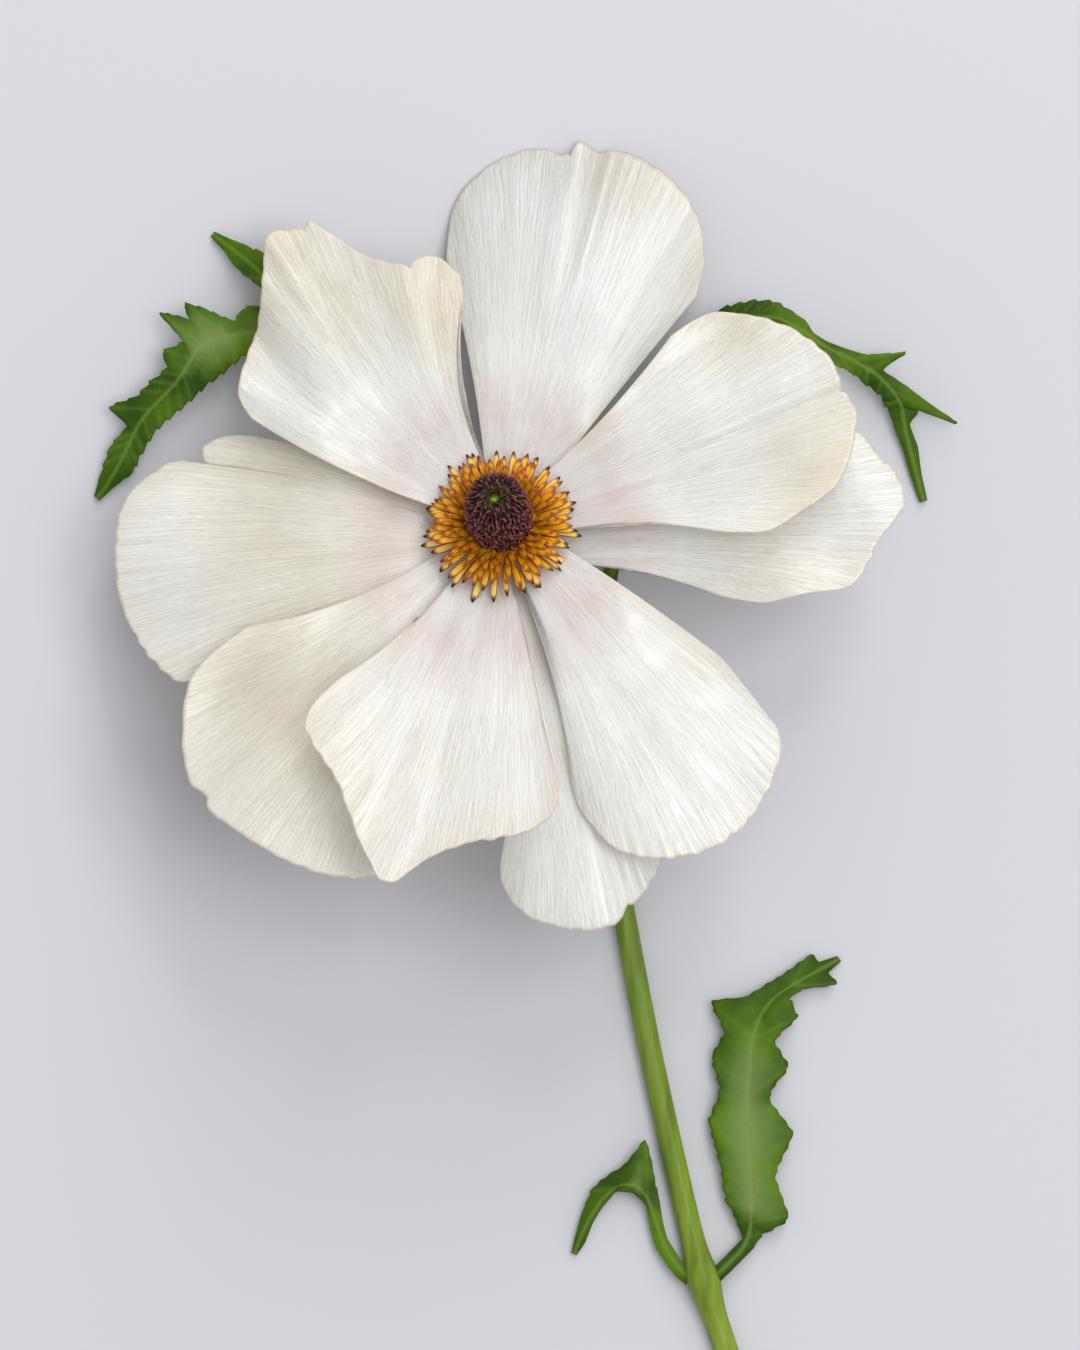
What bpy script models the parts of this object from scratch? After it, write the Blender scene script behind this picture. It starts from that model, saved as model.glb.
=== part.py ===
"""A picked butterfly ranunculus with nine open petals, its stem laid down on a flat surface.

All sizes are in millimetres until a mesh is made, where MM turns them into metres. Plan positions are
measured from the middle of the bloom, with +Z up, and the finished plant is then moved so that the origin is
where the stem's flat underside rests on the surface.
"""

import math

import bmesh
import bpy
import numpy as np
from mathutils import Matrix, Vector

MM = 0.001

# The bloom leans back a little towards +Y, because its neck bends up out of the lying stem.
BLOOM_HEIGHT = 12.5
BLOOM_AXIS = Vector((-0.07, 0.30, 0.951)).normalized()
REST_POINT = (9.2, -24.0)

# Petals
BLADE = 0.66
CLAW_RADIUS = 3.25
CLAW_HALF_WIDTH = 1.25
WHORL_PITCH = 1.08
BOWL_RISE = 2.8
BOWL_LENGTH = 8.0
SHAPE_STARTS, SHAPE_FULL = 6.0, 20.0
PETAL_CELLS = (10, 16)
MARGIN_SAMPLES = 241
MARGIN_SHARE = 0.25
SOFTENED_SAMPLES = 61
PRESS_SOFTNESS = 0.12

# Receptacle, stamens, carpels and sepals, as distances from the bloom's axis and heights along it. A pair of
# values is that of the first, outermost or lowest one and that of the last one.
RECEPTACLE = [
    (0, 3.95), (2.3, 3.95), (2.3, 2.8), (2.9, 2.8), (2.9, -0.9), (2.0, -1.35), (1.05, -1.7), (0, -1.7),
]
STAMEN_RING = [(2.65, 3.9), (3.65, 3.9), (3.65, 3.1), (2.65, 3.1)]
STAMEN_COUNT = 84
STAMEN_ROOT = (3.25, 3.5)
STAMEN_LENGTH = (4.1, 3.6)
STAMEN_RISE = (14, 74)
STAMEN_RADII = (0.31, 0.31, 0.44, 0.12)
HEAD_RADIUS = 2.4
HEAD_BASE, HEAD_TOP = 4.3, 11.6
HEAD_SHARES = (1, 0.95, 0.87, 0.75, 0.6, 0.4, 0.2, 0)
CARPEL_COUNT = 120
CARPEL_BAND = (0.06, 0.98)
BEAK_SUNK = 0.4
BEAK_REACH = (0.65, 0.2)
BEAK_RISE = (0.25, 0.7)
BEAK_RADII = (0.36, 0.34, 0.1)
SEPAL_COUNT = 5
SEPAL_TURN = 0.35
SEPAL_SPAN = (1.9, 11.1)
SEPAL_HEIGHT = (-1.15, -4.65)
SEPAL_HALF_WIDTH = 2.1
SEPAL_CUP = 0.5
TURNED_SIDES = 24
NECK_HEIGHTS = (-4.2, -2.05)

# Stem and leaves
STEM_RADIUS = (1.2, 1.0)
STEM_JOINTS = (-17.5, -68.0)
JOINT_SWELL = 0.45
JOINT_LENGTH = 2.2
STEM_SIDES = 8
STEM_SAMPLES = 56
GOLDEN_ANGLE = math.radians(137.508)

COLOURS = {
    "petal": ((0.86, 0.85, 0.80), 0.42),
    "calyx": ((0.34, 0.47, 0.13), 0.5),
    "stamen": ((0.74, 0.40, 0.05), 0.45),
    "carpel": ((0.16, 0.04, 0.06), 0.5),
    "stem": ((0.27, 0.42, 0.07), 0.45),
    "leaf": ((0.12, 0.27, 0.04), 0.5),
}

# Each petal: the whorl it grows in (0 lowest), the bearing of its claw, the free margin from its left shoulder
# to its right one as seen from the middle of the bloom, a point that each side passes through halfway, how far
# the tip and the two sides stand above a plain bowl, a twist, and local folds as (place across, width across,
# start along, height).
PETALS = {
    "petal_top": dict(
        whorl=1, bearing=80, tip=-5.0, cup=-0.8, twist=0.3,
        margin=[
            (-5.3, 25.4), (-5.4, 27.8), (-4.5, 30.9), (-1.2, 34.8), (3.6, 36.3), (6.6, 36.5),
            (10.5, 36.0), (16.2, 32.6), (18.3, 26.5), (17.5, 22.0),
        ],
        sides=((-3.4, 17.9), (9.2, 11.8)),
        folds=[(0.02, 0.06, 0.45, -0.9), (0.14, 0.07, 0.4, 0.7), (-0.3, 0.1, 0.4, 0.35)],
    ),
    "petal_upper_left": dict(
        whorl=2, bearing=120, tip=1.6, cup=0.2, twist=0.6,
        margin=[
            (-23.0, 10.9), (-24.2, 13.2), (-23.5, 16.4), (-22.4, 19.7), (-22.0, 23.8), (-21.5, 27.8),
            (-18.6, 28.2), (-17.5, 28.7), (-15.0, 27.3), (-12.3, 25.6), (-9.4, 25.0), (-8.0, 25.5),
            (-6.1, 25.6), (-4.1, 23.9), (-3.7, 21.8), (-4.0, 20.0),
        ],
        sides=((-14.5, 6.1), (-4.2, 13.8)),
        folds=[(-0.55, 0.16, 0.62, -2.6), (-0.05, 0.07, 0.6, 0.7), (0.6, 0.2, 0.5, 1.0),
               (-1.0, 0.14, 0.5, -0.8)],
    ),
    "petal_left": dict(
        whorl=0, bearing=184, tip=-1.0, cup=-0.8, twist=0.0,
        margin=[
            (-22.3, -9.8), (-25.5, -11.6), (-28.8, -13.1), (-30.9, -12.1), (-33.2, -9.4),
            (-35.0, -5.3), (-35.3, 0.2), (-34.3, 3.8), (-31.4, 6.4), (-29.4, 7.1), (-27.6, 6.9),
            (-27.3, 8.5), (-24.1, 9.4), (-18.6, 8.4),
        ],
        sides=((-12.3, -5.3), (-10.5, 4.7)),
        folds=[(-0.45, 0.3, 0.5, -1.5), (0.3, 0.2, 0.5, 0.6)],
    ),
    "petal_lower_left": dict(
        whorl=1, bearing=221, tip=-0.6, cup=0.6, twist=0.0,
        margin=[
            (-5.9, -24.4), (-7.7, -28.0), (-11.5, -30.5), (-15.5, -30.5), (-19.5, -29.2),
            (-23.2, -27.1), (-26.7, -24.6), (-27.2, -23.3), (-28.6, -21.6), (-29.1, -17.5),
            (-28.5, -13.1), (-26.4, -10.5), (-23.2, -8.0),
        ],
        sides=((-5.0, -13.5), (-14.5, -5.9)),
        folds=[(0.55, 0.3, 0.6, -1.4), (-0.4, 0.25, 0.6, 0.5)],
    ),
    "petal_lower": dict(
        whorl=2, bearing=254, tip=4.8, cup=0.8, twist=0.0,
        margin=[
            (3.6, -17.1), (4.5, -20.5), (4.8, -23.5), (3.6, -25.6), (0.9, -26.8), (-3.2, -27.5),
            (-6.8, -28.9), (-9.4, -30.8), (-10.6, -31.0), (-11.5, -30.1), (-13.2, -26.6),
            (-15.0, -21.9), (-17.0, -18.9), (-17.8, -16.8), (-17.0, -14.9), (-14.5, -12.5),
        ],
        sides=((2.3, -10.7), (-7.3, -6.9)),
        folds=[(-0.1, 0.25, 0.6, -0.9), (0.25, 0.15, 0.6, 0.8)],
    ),
    "petal_bottom": dict(
        whorl=0, bearing=281, tip=-5.0, cup=-1.0, twist=0.0,
        margin=[
            (13.2, -23.5), (14.3, -28.0), (14.1, -29.6), (12.7, -32.1), (11.1, -33.6), (9.9, -35.0),
            (6.8, -35.5), (2.7, -34.5), (0.6, -32.7), (-0.3, -30.3), (0.2, -27.5), (1.4, -23.5),
        ],
        sides=((7.7, -13.5), (2.0, -14.4)),
        folds=[(0.0, 0.2, 0.6, 0.4)],
    ),
    "petal_lower_right": dict(
        whorl=2, bearing=306, tip=-3.2, cup=0.5, twist=0.0,
        margin=[
            (19.5, -10.7), (23.4, -15.6), (25.0, -18.2), (24.5, -21.2), (22.7, -24.8), (20.3, -27.3),
            (16.8, -28.7), (12.7, -28.9), (9.7, -27.8), (7.1, -24.8), (6.2, -22.1), (5.9, -17.5),
        ],
        sides=((12.3, -5.5), (4.6, -10.9)),
        folds=[(0.35, 0.2, 0.5, 0.5), (-0.5, 0.2, 0.5, 0.4)],
    ),
    "petal_right": dict(
        whorl=0, bearing=356, tip=-0.8, cup=-0.4, twist=0.0,
        margin=[
            (26.8, 10.2), (31.6, 9.9), (33.2, 8.6), (34.6, 6.7), (35.3, 6.4), (36.4, 3.1),
            (34.1, -0.1), (32.8, -2.7), (31.2, -4.5), (27.3, -5.1), (23.6, -5.9), (19.5, -5.3),
        ],
        sides=((16.8, 6.5), (10.5, -2.4)),
        folds=[(-0.15, 0.12, 0.55, 0.6), (0.35, 0.2, 0.6, -0.5)],
    ),
    "petal_upper_right": dict(
        whorl=2, bearing=29, tip=1.4, cup=0.7, twist=0.0,
        margin=[
            (15.2, 18.4), (17.5, 19.9), (20.3, 20.5), (25.5, 19.3), (29.4, 16.5), (30.7, 13.6),
            (31.9, 11.3), (31.4, 7.6), (30.0, 4.7), (26.8, 2.3), (23.6, 0.5), (19.1, 0.5),
        ],
        sides=((9.4, 11.3), (12.3, 1.3)),
        folds=[(0.0, 0.12, 0.45, -0.7), (0.35, 0.25, 0.5, 0.9)],
    ),
}

# The stem's middle line from the cut end to the neck, as (x, y, lift off the surface).
STEM_ROUTE = [
    (24.2, -86.0, 0), (21.4, -77.5, 0), (18.3, -68.0, 0), (15.6, -57.0, 0), (13.2, -46.0, 0),
    (11.0, -34.5, 0), (9.2, -24.0, 0), (7.7, -16.5, 0), (6.0, -10.6, 0.9), (4.2, -6.9, 3.0), (2.4, -4.2, 5.6),
]

# Each leaf is one or more blades fused together. A blade starts with a narrow stalk, given as (x, y, height) of
# its middle, and goes on with the left and right edge points at each tooth and notch, seen from its base.
# Heights are those of its middle, spread evenly from the end of the stalk to the tip.
STALK_HALF_WIDTH = 0.75
LEAVES = {
    "leaf_left": [
        dict(
            stalk=[(5.9, -16.4, 1.3), (-2.5, -8.0, 0.7), (-10.0, 5.0, 0.8), (-14.6, 13.6, 1.4)],
            edges=[
                ((-18.5, 17.5), (-17.5, 20.6)), ((-21.5, 17.8), (-22.0, 21.6)),
                ((-22.4, 17.5), (-24.0, 21.3)), ((-23.5, 16.9), (-24.9, 20.1)),
                ((-24.6, 16.0), (-27.2, 21.1)), ((-25.4, 15.4), (-29.4, 21.7)),
                ((-25.7, 15.1), (-29.0, 20.3)), ((-26.2, 14.7), (-31.7, 20.9)),
                ((-26.9, 14.2), (-29.1, 18.6)), ((-27.8, 13.4), (-31.4, 17.3)),
                ((-28.5, 12.7), (-30.9, 16.0)), ((-29.9, 11.5), (-32.6, 14.5)),
                ((-31.0, 10.6), (-33.9, 13.2)), ((-32.0, 9.6), (-36.4, 12.2)),
                ((-32.6, 8.7), (-34.5, 10.6)), ((-33.4, 7.4), (-36.2, 8.7)),
                ((-33.9, 6.2), (-36.9, 6.8)), ((-35.6, 5.1), (-37.4, 4.8)),
                ((-37.2, 3.6), (-37.6, 4.0)),
            ],
            heights=[1.9, 2.9, 3.1, 2.5, 1.5, 0.33],
        ),
        dict(
            stalk=[],
            edges=[
                ((-18.9, 18.8), (-17.6, 19.8)), ((-20.6, 21.2), (-18.9, 23.0)),
                ((-22.2, 22.9), (-21.1, 26.0)), ((-24.4, 24.6), (-23.1, 26.8)),
                ((-25.6, 26.4), (-25.1, 27.5)), ((-26.9, 27.8), (-26.6, 28.2)),
            ],
            heights=[2.0, 2.2, 1.4, 0.35],
        ),
    ],
    "leaf_right": [
        dict(
            stalk=[(9.6, -15.2, 1.3), (9.4, -6.0, 0.7), (11.6, 4.5, 0.8), (16.8, 14.6, 1.4)],
            edges=[
                ((18.3, 20.3), (19.2, 18.4)), ((20.5, 21.5), (20.8, 19.6)),
                ((22.8, 22.0), (23.5, 19.8)), ((25.1, 21.8), (25.8, 19.8)),
                ((27.6, 20.0), (26.4, 19.1)), ((28.2, 18.9), (27.1, 18.0)),
                ((29.6, 18.0), (30.1, 16.0)), ((33.1, 16.9), (31.9, 15.1)),
                ((37.0, 17.2), (32.5, 14.5)), ((34.2, 15.9), (33.3, 14.0)),
                ((36.5, 14.3), (34.2, 13.3)), ((41.7, 10.6), (34.6, 12.7)),
                ((36.3, 13.0), (34.9, 12.2)), ((38.0, 11.9), (35.5, 11.2)),
                ((37.1, 10.7), (36.1, 9.6)), ((37.9, 8.5), (36.7, 8.1)), ((38.2, 6.2), (37.3, 6.0)),
                ((38.8, 3.6), (38.2, 3.4)),
            ],
            heights=[2.2, 3.2, 3.2, 2.4, 1.6, 1.0, 0.33],
        ),
    ],
    "leaf_lower_right": [
        dict(
            stalk=[(20.0, -67.0, 1.4), (22.4, -64.6, 1.1)],
            edges=[
                ((21.6, -63.4), (23.8, -63.9)), ((20.2, -60.6), (26.2, -62.4)),
                ((19.6, -57.0), (25.0, -58.4)), ((18.6, -53.4), (26.6, -54.6)),
                ((19.6, -50.6), (24.4, -51.2)), ((18.9, -47.6), (26.2, -48.4)),
                ((20.0, -45.2), (25.0, -46.0)), ((18.9, -42.4), (27.0, -43.8)),
                ((21.9, -42.0), (26.4, -42.2)), ((24.6, -40.4), (27.6, -41.3)),
                ((28.0, -38.0), (30.6, -40.9)), ((28.7, -38.9), (29.6, -39.9)),
                ((30.6, -38.3), (30.9, -38.7)),
            ],
            heights=[1.0, 1.5, 1.2, 1.4, 0.8, 0.35],
        ),
    ],
    "leaf_lower_left": [
        dict(
            stalk=[(15.9, -66.8, 1.3), (14.4, -64.6, 1.0)],
            edges=[
                ((13.4, -63.0), (14.5, -62.6)), ((13.1, -61.3), (14.0, -59.5)),
                ((11.8, -59.9), (13.0, -55.0)), ((10.2, -59.9), (11.4, -57.0)),
                ((8.9, -61.3), (8.2, -59.3)), ((8.1, -62.6), (7.2, -61.7)),
                ((7.4, -64.5), (6.5, -64.2)), ((6.6, -65.7), (6.2, -65.5)),
            ],
            heights=[1.0, 1.4, 1.0, 0.35],
        ),
    ],
}
LEAF_BLADE = 0.64
LEAF_CELLS_ACROSS = 4
LEAF_ARCH = 0.1


def smooth_line(points, samples):
    """A smooth line through the points, as that many points evenly spaced along it."""
    p = np.array(points, float)
    p = np.vstack([2 * p[0] - p[1], p, 2 * p[-1] - p[-2]])
    u = np.linspace(0, 1, 24, endpoint=False)[:, None]
    runs = []
    for a, b, c, d in zip(p[:-3], p[1:-2], p[2:-1], p[3:]):
        bend = (2 * a - 5 * b + 4 * c - d) * u**2 + (3 * b - a - 3 * c + d) * u**3
        runs.append(0.5 * (2 * b + (c - a) * u + bend))
    dense = np.vstack([*runs, p[-2]])
    along = np.concatenate([[0], np.cumsum(np.linalg.norm(np.diff(dense, axis=0), axis=1))])
    at = np.linspace(0, along[-1], samples)
    return np.stack([np.interp(at, along, dense[:, k]) for k in range(dense.shape[1])], axis=1)


def ease(x, start, end):
    """0 before start, 1 after end, and a smooth step between them."""
    t = np.clip((x - start) / (end - start), 0, 1)
    return t * t * (3 - 2 * t)


def laid_down(height, blade):
    """Heights of a blade's middle, pressed softly on to the surface where they would sink into it."""
    return blade / 2 + PRESS_SOFTNESS * np.logaddexp(0, (height - blade / 2) / PRESS_SOFTNESS)


def material(name):
    colour, roughness = COLOURS[name]
    made = bpy.data.materials.get(name) or bpy.data.materials.new(name)
    made.use_nodes = True
    shader = made.node_tree.nodes["Principled BSDF"]
    shader.inputs["Base Color"].default_value = (*colour, 1)
    shader.inputs["Roughness"].default_value = roughness
    return made


def add_object(name, mesh, finish, collection):
    mesh.materials.clear()
    mesh.materials.append(material(finish))
    obj = bpy.data.objects.new(name, mesh)
    collection.objects.link(obj)
    return obj


def on_axis(radius, angle, height):
    """A point given round the bloom's own axis, with height counted from the lowest whorl of petals."""
    side = BLOOM_AXIS.cross(Vector((0, 0, 1))).normalized()
    front = side.cross(BLOOM_AXIS)
    turned = front * math.cos(angle) + side * math.sin(angle)
    return Vector((0, 0, BLOOM_HEIGHT)) + BLOOM_AXIS * height + turned * radius


def axis_matrix():
    """Places a shape that was made round +Z on the bloom's axis, and turns millimetres into metres."""
    turn = BLOOM_AXIS.to_track_quat("Z", "Y").to_matrix().to_4x4()
    return Matrix.Scale(MM, 4) @ Matrix.Translation((0, 0, BLOOM_HEIGHT)) @ turn


def margin_places(margin_line, middle):
    """How far across the petal, from -1 to 1, each point of its margin lies, mostly by its bearing."""
    steps = np.diff(margin_line, axis=0)
    outward = (margin_line - middle)[:-1]
    outward /= np.linalg.norm(outward, axis=1)[:, None]
    sweep = np.abs(outward[:, 0] * steps[:, 1] - outward[:, 1] * steps[:, 0])
    sweep += MARGIN_SHARE * np.linalg.norm(steps, axis=1)
    place = np.concatenate([[0], np.cumsum(sweep)])
    return 2 * place / place[-1] - 1


def petal_surface(petal, along, across):
    """Points of a petal's middle surface. along runs 0 to 1 from claw to margin, across runs -1 to 1."""
    axis = np.array(BLOOM_AXIS)
    middle = axis[:2] * petal["whorl"] * WHORL_PITCH
    bearing = math.radians(petal["bearing"])
    outward = np.array([math.cos(bearing), math.sin(bearing)])
    rightward = np.array([outward[1], -outward[0]])
    margin_line = smooth_line(petal["margin"], MARGIN_SAMPLES)
    places = margin_places(margin_line, middle)
    margin = np.stack([np.interp(across, places, margin_line[:, k]) for k in (0, 1)], axis=-1)
    claw = middle + outward * CLAW_RADIUS + across[..., None] * CLAW_HALF_WIDTH * rightward
    bows = []
    for side, via in zip((-1, 1), petal["sides"]):
        start = middle + outward * CLAW_RADIUS + side * CLAW_HALF_WIDTH * rightward
        end = margin_line[0 if side < 0 else -1]
        chord = end - start
        normal = np.array([-chord[1], chord[0]]) / (chord @ chord)
        bows.append((np.array(via) - (start + end) / 2) @ normal)
    bow = bows[0] + (bows[1] - bows[0]) * (across[..., None] + 1) / 2
    chord = margin - claw
    turned = np.stack([-chord[..., 1], chord[..., 0]], axis=-1)
    control = (claw + margin) / 2 + 2 * bow * turned
    s = along[..., None]
    plan = (1 - s) ** 2 * claw + 2 * s * (1 - s) * control + s**2 * margin
    reach = np.linalg.norm(plan - middle, axis=-1)
    height = BLOOM_HEIGHT + petal["whorl"] * WHORL_PITCH * axis[2]
    height = height - ((plan - middle) @ axis[:2]) / axis[2]
    height = height + BOWL_RISE * (1 - np.exp(-np.maximum(reach - CLAW_RADIUS, 0) / BOWL_LENGTH))
    ends = np.pad(np.linalg.norm(margin_line - middle, axis=1), SOFTENED_SAMPLES // 2, mode="edge")
    window = np.hanning(SOFTENED_SAMPLES)
    softened = np.convolve(ends, window / window.sum(), "valid")
    share = (reach - CLAW_RADIUS) / (np.interp(across, places, softened) - CLAW_RADIUS)
    shape = petal["tip"] * share**2 + petal["cup"] * across**2 * share + petal["twist"] * across * share
    for place, width, start, lift in petal["folds"]:
        shape = shape + lift * np.exp(-(((across - place) / width) ** 2)) * ease(share, start, 1.0)
    height = height + shape * ease(reach, SHAPE_STARTS, SHAPE_FULL)
    return np.column_stack([plan, laid_down(height, BLADE)])


def grid_mesh(name, cells, surface):
    """A grid of cells whose corners are moved on to a surface, split the same way all over."""
    bm = bmesh.new()
    bmesh.ops.create_grid(bm, x_segments=cells[0], y_segments=cells[1], size=1)
    place = np.array([v.co[:2] for v in bm.verts])
    points = surface((place[:, 0] + 1) / 2, place[:, 1])
    for vert, point in zip(bm.verts, points):
        vert.co = Vector(point) * MM
    bmesh.ops.triangulate(bm, faces=bm.faces)
    bmesh.ops.recalc_face_normals(bm, faces=bm.faces)
    mesh = bpy.data.meshes.new(name)
    bm.to_mesh(mesh)
    bm.free()
    mesh.shade_smooth()
    return mesh


def thicken(obj, blade):
    solid = obj.modifiers.new("blade", "SOLIDIFY")
    solid.thickness = blade * MM
    solid.offset = 0
    solid.use_quality_normals = True
    return solid


def build_petals(collection):
    for name, petal in PETALS.items():
        mesh = grid_mesh(name, PETAL_CELLS, lambda along, across, p=petal: petal_surface(p, along, across))
        obj = add_object(name, mesh, "petal", collection)
        thicken(obj, BLADE)


def applied(obj):
    """The object's mesh with its modifiers applied, and the object removed."""
    graph = bpy.context.evaluated_depsgraph_get()
    mesh = bpy.data.meshes.new_from_object(obj.evaluated_get(graph))
    mesh.transform(obj.matrix_world)
    bpy.data.objects.remove(obj)
    return mesh


def fuse(name, first, others, finish, collection):
    """One solid from a first mesh and the meshes that are sunk into it."""
    pieces = bpy.data.collections.new(name + "_pieces")
    bpy.context.scene.collection.children.link(pieces)
    for number, mesh in enumerate(others):
        pieces.objects.link(bpy.data.objects.new(f"{name}_piece_{number}", mesh))
    base = add_object(name + "_base", first, finish, collection)
    union = base.modifiers.new("fuse", "BOOLEAN")
    union.operation = "UNION"
    union.operand_type = "COLLECTION"
    union.collection = pieces
    union.solver = "MANIFOLD"
    bpy.context.view_layer.update()
    mesh = applied(base)
    for obj in list(pieces.objects):
        bpy.data.objects.remove(obj)
    bpy.data.collections.remove(pieces)
    return add_object(name, mesh, finish, collection)


def bmesh_to_mesh(bm, name, matrix):
    bm.transform(matrix)
    mesh = bpy.data.meshes.new(name)
    bm.to_mesh(mesh)
    bm.free()
    return mesh


def turned(name, profile, collection, ring=False):
    """A solid of revolution from (radius, height) pairs that run down its outer side, on the bloom's axis."""
    mesh = bpy.data.meshes.new(name)
    edges = [(k, k + 1) for k in range(len(profile) - 1)]
    if ring:
        edges.append((len(profile) - 1, 0))
    mesh.from_pydata([(r, 0, h) for r, h in profile], edges, [])
    obj = bpy.data.objects.new(name, mesh)
    collection.objects.link(obj)
    screw = obj.modifiers.new("turn", "SCREW")
    screw.steps = screw.render_steps = TURNED_SIDES
    screw.use_merge_vertices = True
    screw.merge_threshold = 0.0001
    bpy.context.view_layer.update()
    made = applied(obj)
    made.transform(axis_matrix())
    return made


def build_calyx(collection):
    """The receptacle that carries the petals, stamens and carpels, with five sepals bent back under it."""
    receptacle = turned("receptacle", RECEPTACLE, collection)
    sepals = []
    for k in range(SEPAL_COUNT):
        bearing = math.tau * k / SEPAL_COUNT + SEPAL_TURN

        def surface(along, across, bearing=bearing):
            reach = SEPAL_SPAN[0] + (SEPAL_SPAN[1] - SEPAL_SPAN[0]) * along
            outline = 0.17 + 0.83 * np.sin(np.pi * (0.12 + 0.86 * along) ** 0.9)
            angle = bearing + across * SEPAL_HALF_WIDTH * outline / reach
            height = SEPAL_HEIGHT[0] + (SEPAL_HEIGHT[1] - SEPAL_HEIGHT[0]) * along**2
            height = height + SEPAL_CUP * across**2 * along
            return np.array([on_axis(r, a, h) for r, a, h in zip(reach, angle, height)])

        obj = add_object(f"sepal_{k}", grid_mesh("sepal", (7, 4), surface), "calyx", collection)
        thicken(obj, BLADE)
        bpy.context.view_layer.update()
        sepals.append(applied(obj))
    fuse("calyx", receptacle, sepals, "calyx", collection)


def spindle(root, tip, radii, sides):
    """A slim solid from root to tip: each radius is that of one section, spaced evenly along it."""
    bm = bmesh.new()
    sections = []
    heading = (tip - root).normalized().to_track_quat("Z", "Y").to_matrix()
    for k, radius in enumerate(radii):
        centre = root.lerp(tip, k / (len(radii) - 1))
        ring = []
        for j in range(sides):
            angle = math.tau * (j + 0.5) / sides
            spoke = Vector((math.cos(angle), math.sin(angle), 0)) * radius
            ring.append(bm.verts.new(centre + heading @ spoke))
        sections.append(ring)
    for low, high in zip(sections, sections[1:]):
        for j in range(sides):
            bm.faces.new((low[j], low[(j + 1) % sides], high[(j + 1) % sides], high[j]))
    bm.faces.new(list(reversed(sections[0])))
    bm.faces.new(sections[-1])
    return bmesh_to_mesh(bm, "spindle", Matrix.Scale(MM, 4))


def build_stamens(collection):
    """A low ring on the receptacle with the stamens, in a spiral from the flat outer ones inwards."""
    ring = turned("stamen_ring", STAMEN_RING, collection, ring=True)
    radius, height = STAMEN_ROOT
    stamens = []
    for k in range(STAMEN_COUNT):
        inward = k / (STAMEN_COUNT - 1)
        angle = k * GOLDEN_ANGLE
        rise = math.radians(STAMEN_RISE[0] + (STAMEN_RISE[1] - STAMEN_RISE[0]) * inward)
        length = STAMEN_LENGTH[0] + (STAMEN_LENGTH[1] - STAMEN_LENGTH[0]) * inward
        root = on_axis(radius, angle, height)
        tip = on_axis(radius + length * math.cos(rise), angle, height + length * math.sin(rise))
        stamens.append(spindle(root, tip, STAMEN_RADII, 4))
    fuse("stamens", ring, stamens, "stamen", collection)


def head_radius(share):
    """The carpel head's core: a blunt barrel, from its foot (0) to its crown (1)."""
    return HEAD_RADIUS * (1 - 0.2 * (1 - share) ** 4) * math.sqrt(max(1 - share**5, 0))


def build_carpels(collection):
    """The carpel head: a blunt barrel closely set with small beaks that point out and up."""
    profile = [(head_radius(share), HEAD_BASE + (HEAD_TOP - HEAD_BASE) * share) for share in HEAD_SHARES]
    core = turned("head_core", [*profile, (0, HEAD_BASE)], collection)
    beaks = []
    for k in range(CARPEL_COUNT):
        share = CARPEL_BAND[0] + (CARPEL_BAND[1] - CARPEL_BAND[0]) * k / (CARPEL_COUNT - 1)
        angle = k * GOLDEN_ANGLE
        radius, height = head_radius(share), HEAD_BASE + (HEAD_TOP - HEAD_BASE) * share
        upright = ease(share, 0.55, 1.0)
        reach = BEAK_REACH[0] + (BEAK_REACH[1] - BEAK_REACH[0]) * upright
        rise = BEAK_RISE[0] + (BEAK_RISE[1] - BEAK_RISE[0]) * upright
        start = on_axis(radius - BEAK_SUNK, angle, height - rise)
        end = on_axis(radius + reach, angle, height + rise)
        beaks.append(spindle(start, end, BEAK_RADII, 3))
    fuse("carpel_head", core, beaks, "carpel", collection)


def stem_radius(y):
    """The stem's radius at that plan position: it tapers to the bloom and swells at the leaf joints."""
    radius = STEM_RADIUS[1] + (STEM_RADIUS[0] - STEM_RADIUS[1]) * y / STEM_ROUTE[0][1]
    for joint in STEM_JOINTS:
        radius = radius + JOINT_SWELL * math.exp(-(((y - joint) / JOINT_LENGTH) ** 2))
    return radius


def build_stem(collection):
    """The stem lies flat from its cut end to the upper joint, then its neck bends up to the receptacle."""
    neck = [tuple(on_axis(0, 0, h) - Vector((0, 0, STEM_RADIUS[1]))) for h in NECK_HEIGHTS]
    route = smooth_line([*STEM_ROUTE, *neck], STEM_SAMPLES)
    facet = math.cos(math.pi / STEM_SIDES)
    curve = bpy.data.curves.new("stem", "CURVE")
    curve.dimensions = "3D"
    curve.bevel_depth = MM
    curve.bevel_resolution = 2
    curve.use_fill_caps = True
    curve.twist_mode = "Z_UP"
    line = curve.splines.new("POLY")
    line.points.add(len(route) - 1)
    for point, (x, y, lift) in zip(line.points, route):
        radius = stem_radius(y)
        point.co = (x * MM, y * MM, (max(lift, 0) + radius * facet) * MM, 1)
        point.radius = radius
        point.tilt = math.pi / STEM_SIDES
    curve.materials.append(material("stem"))
    obj = bpy.data.objects.new("stem", curve)
    collection.objects.link(obj)


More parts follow.
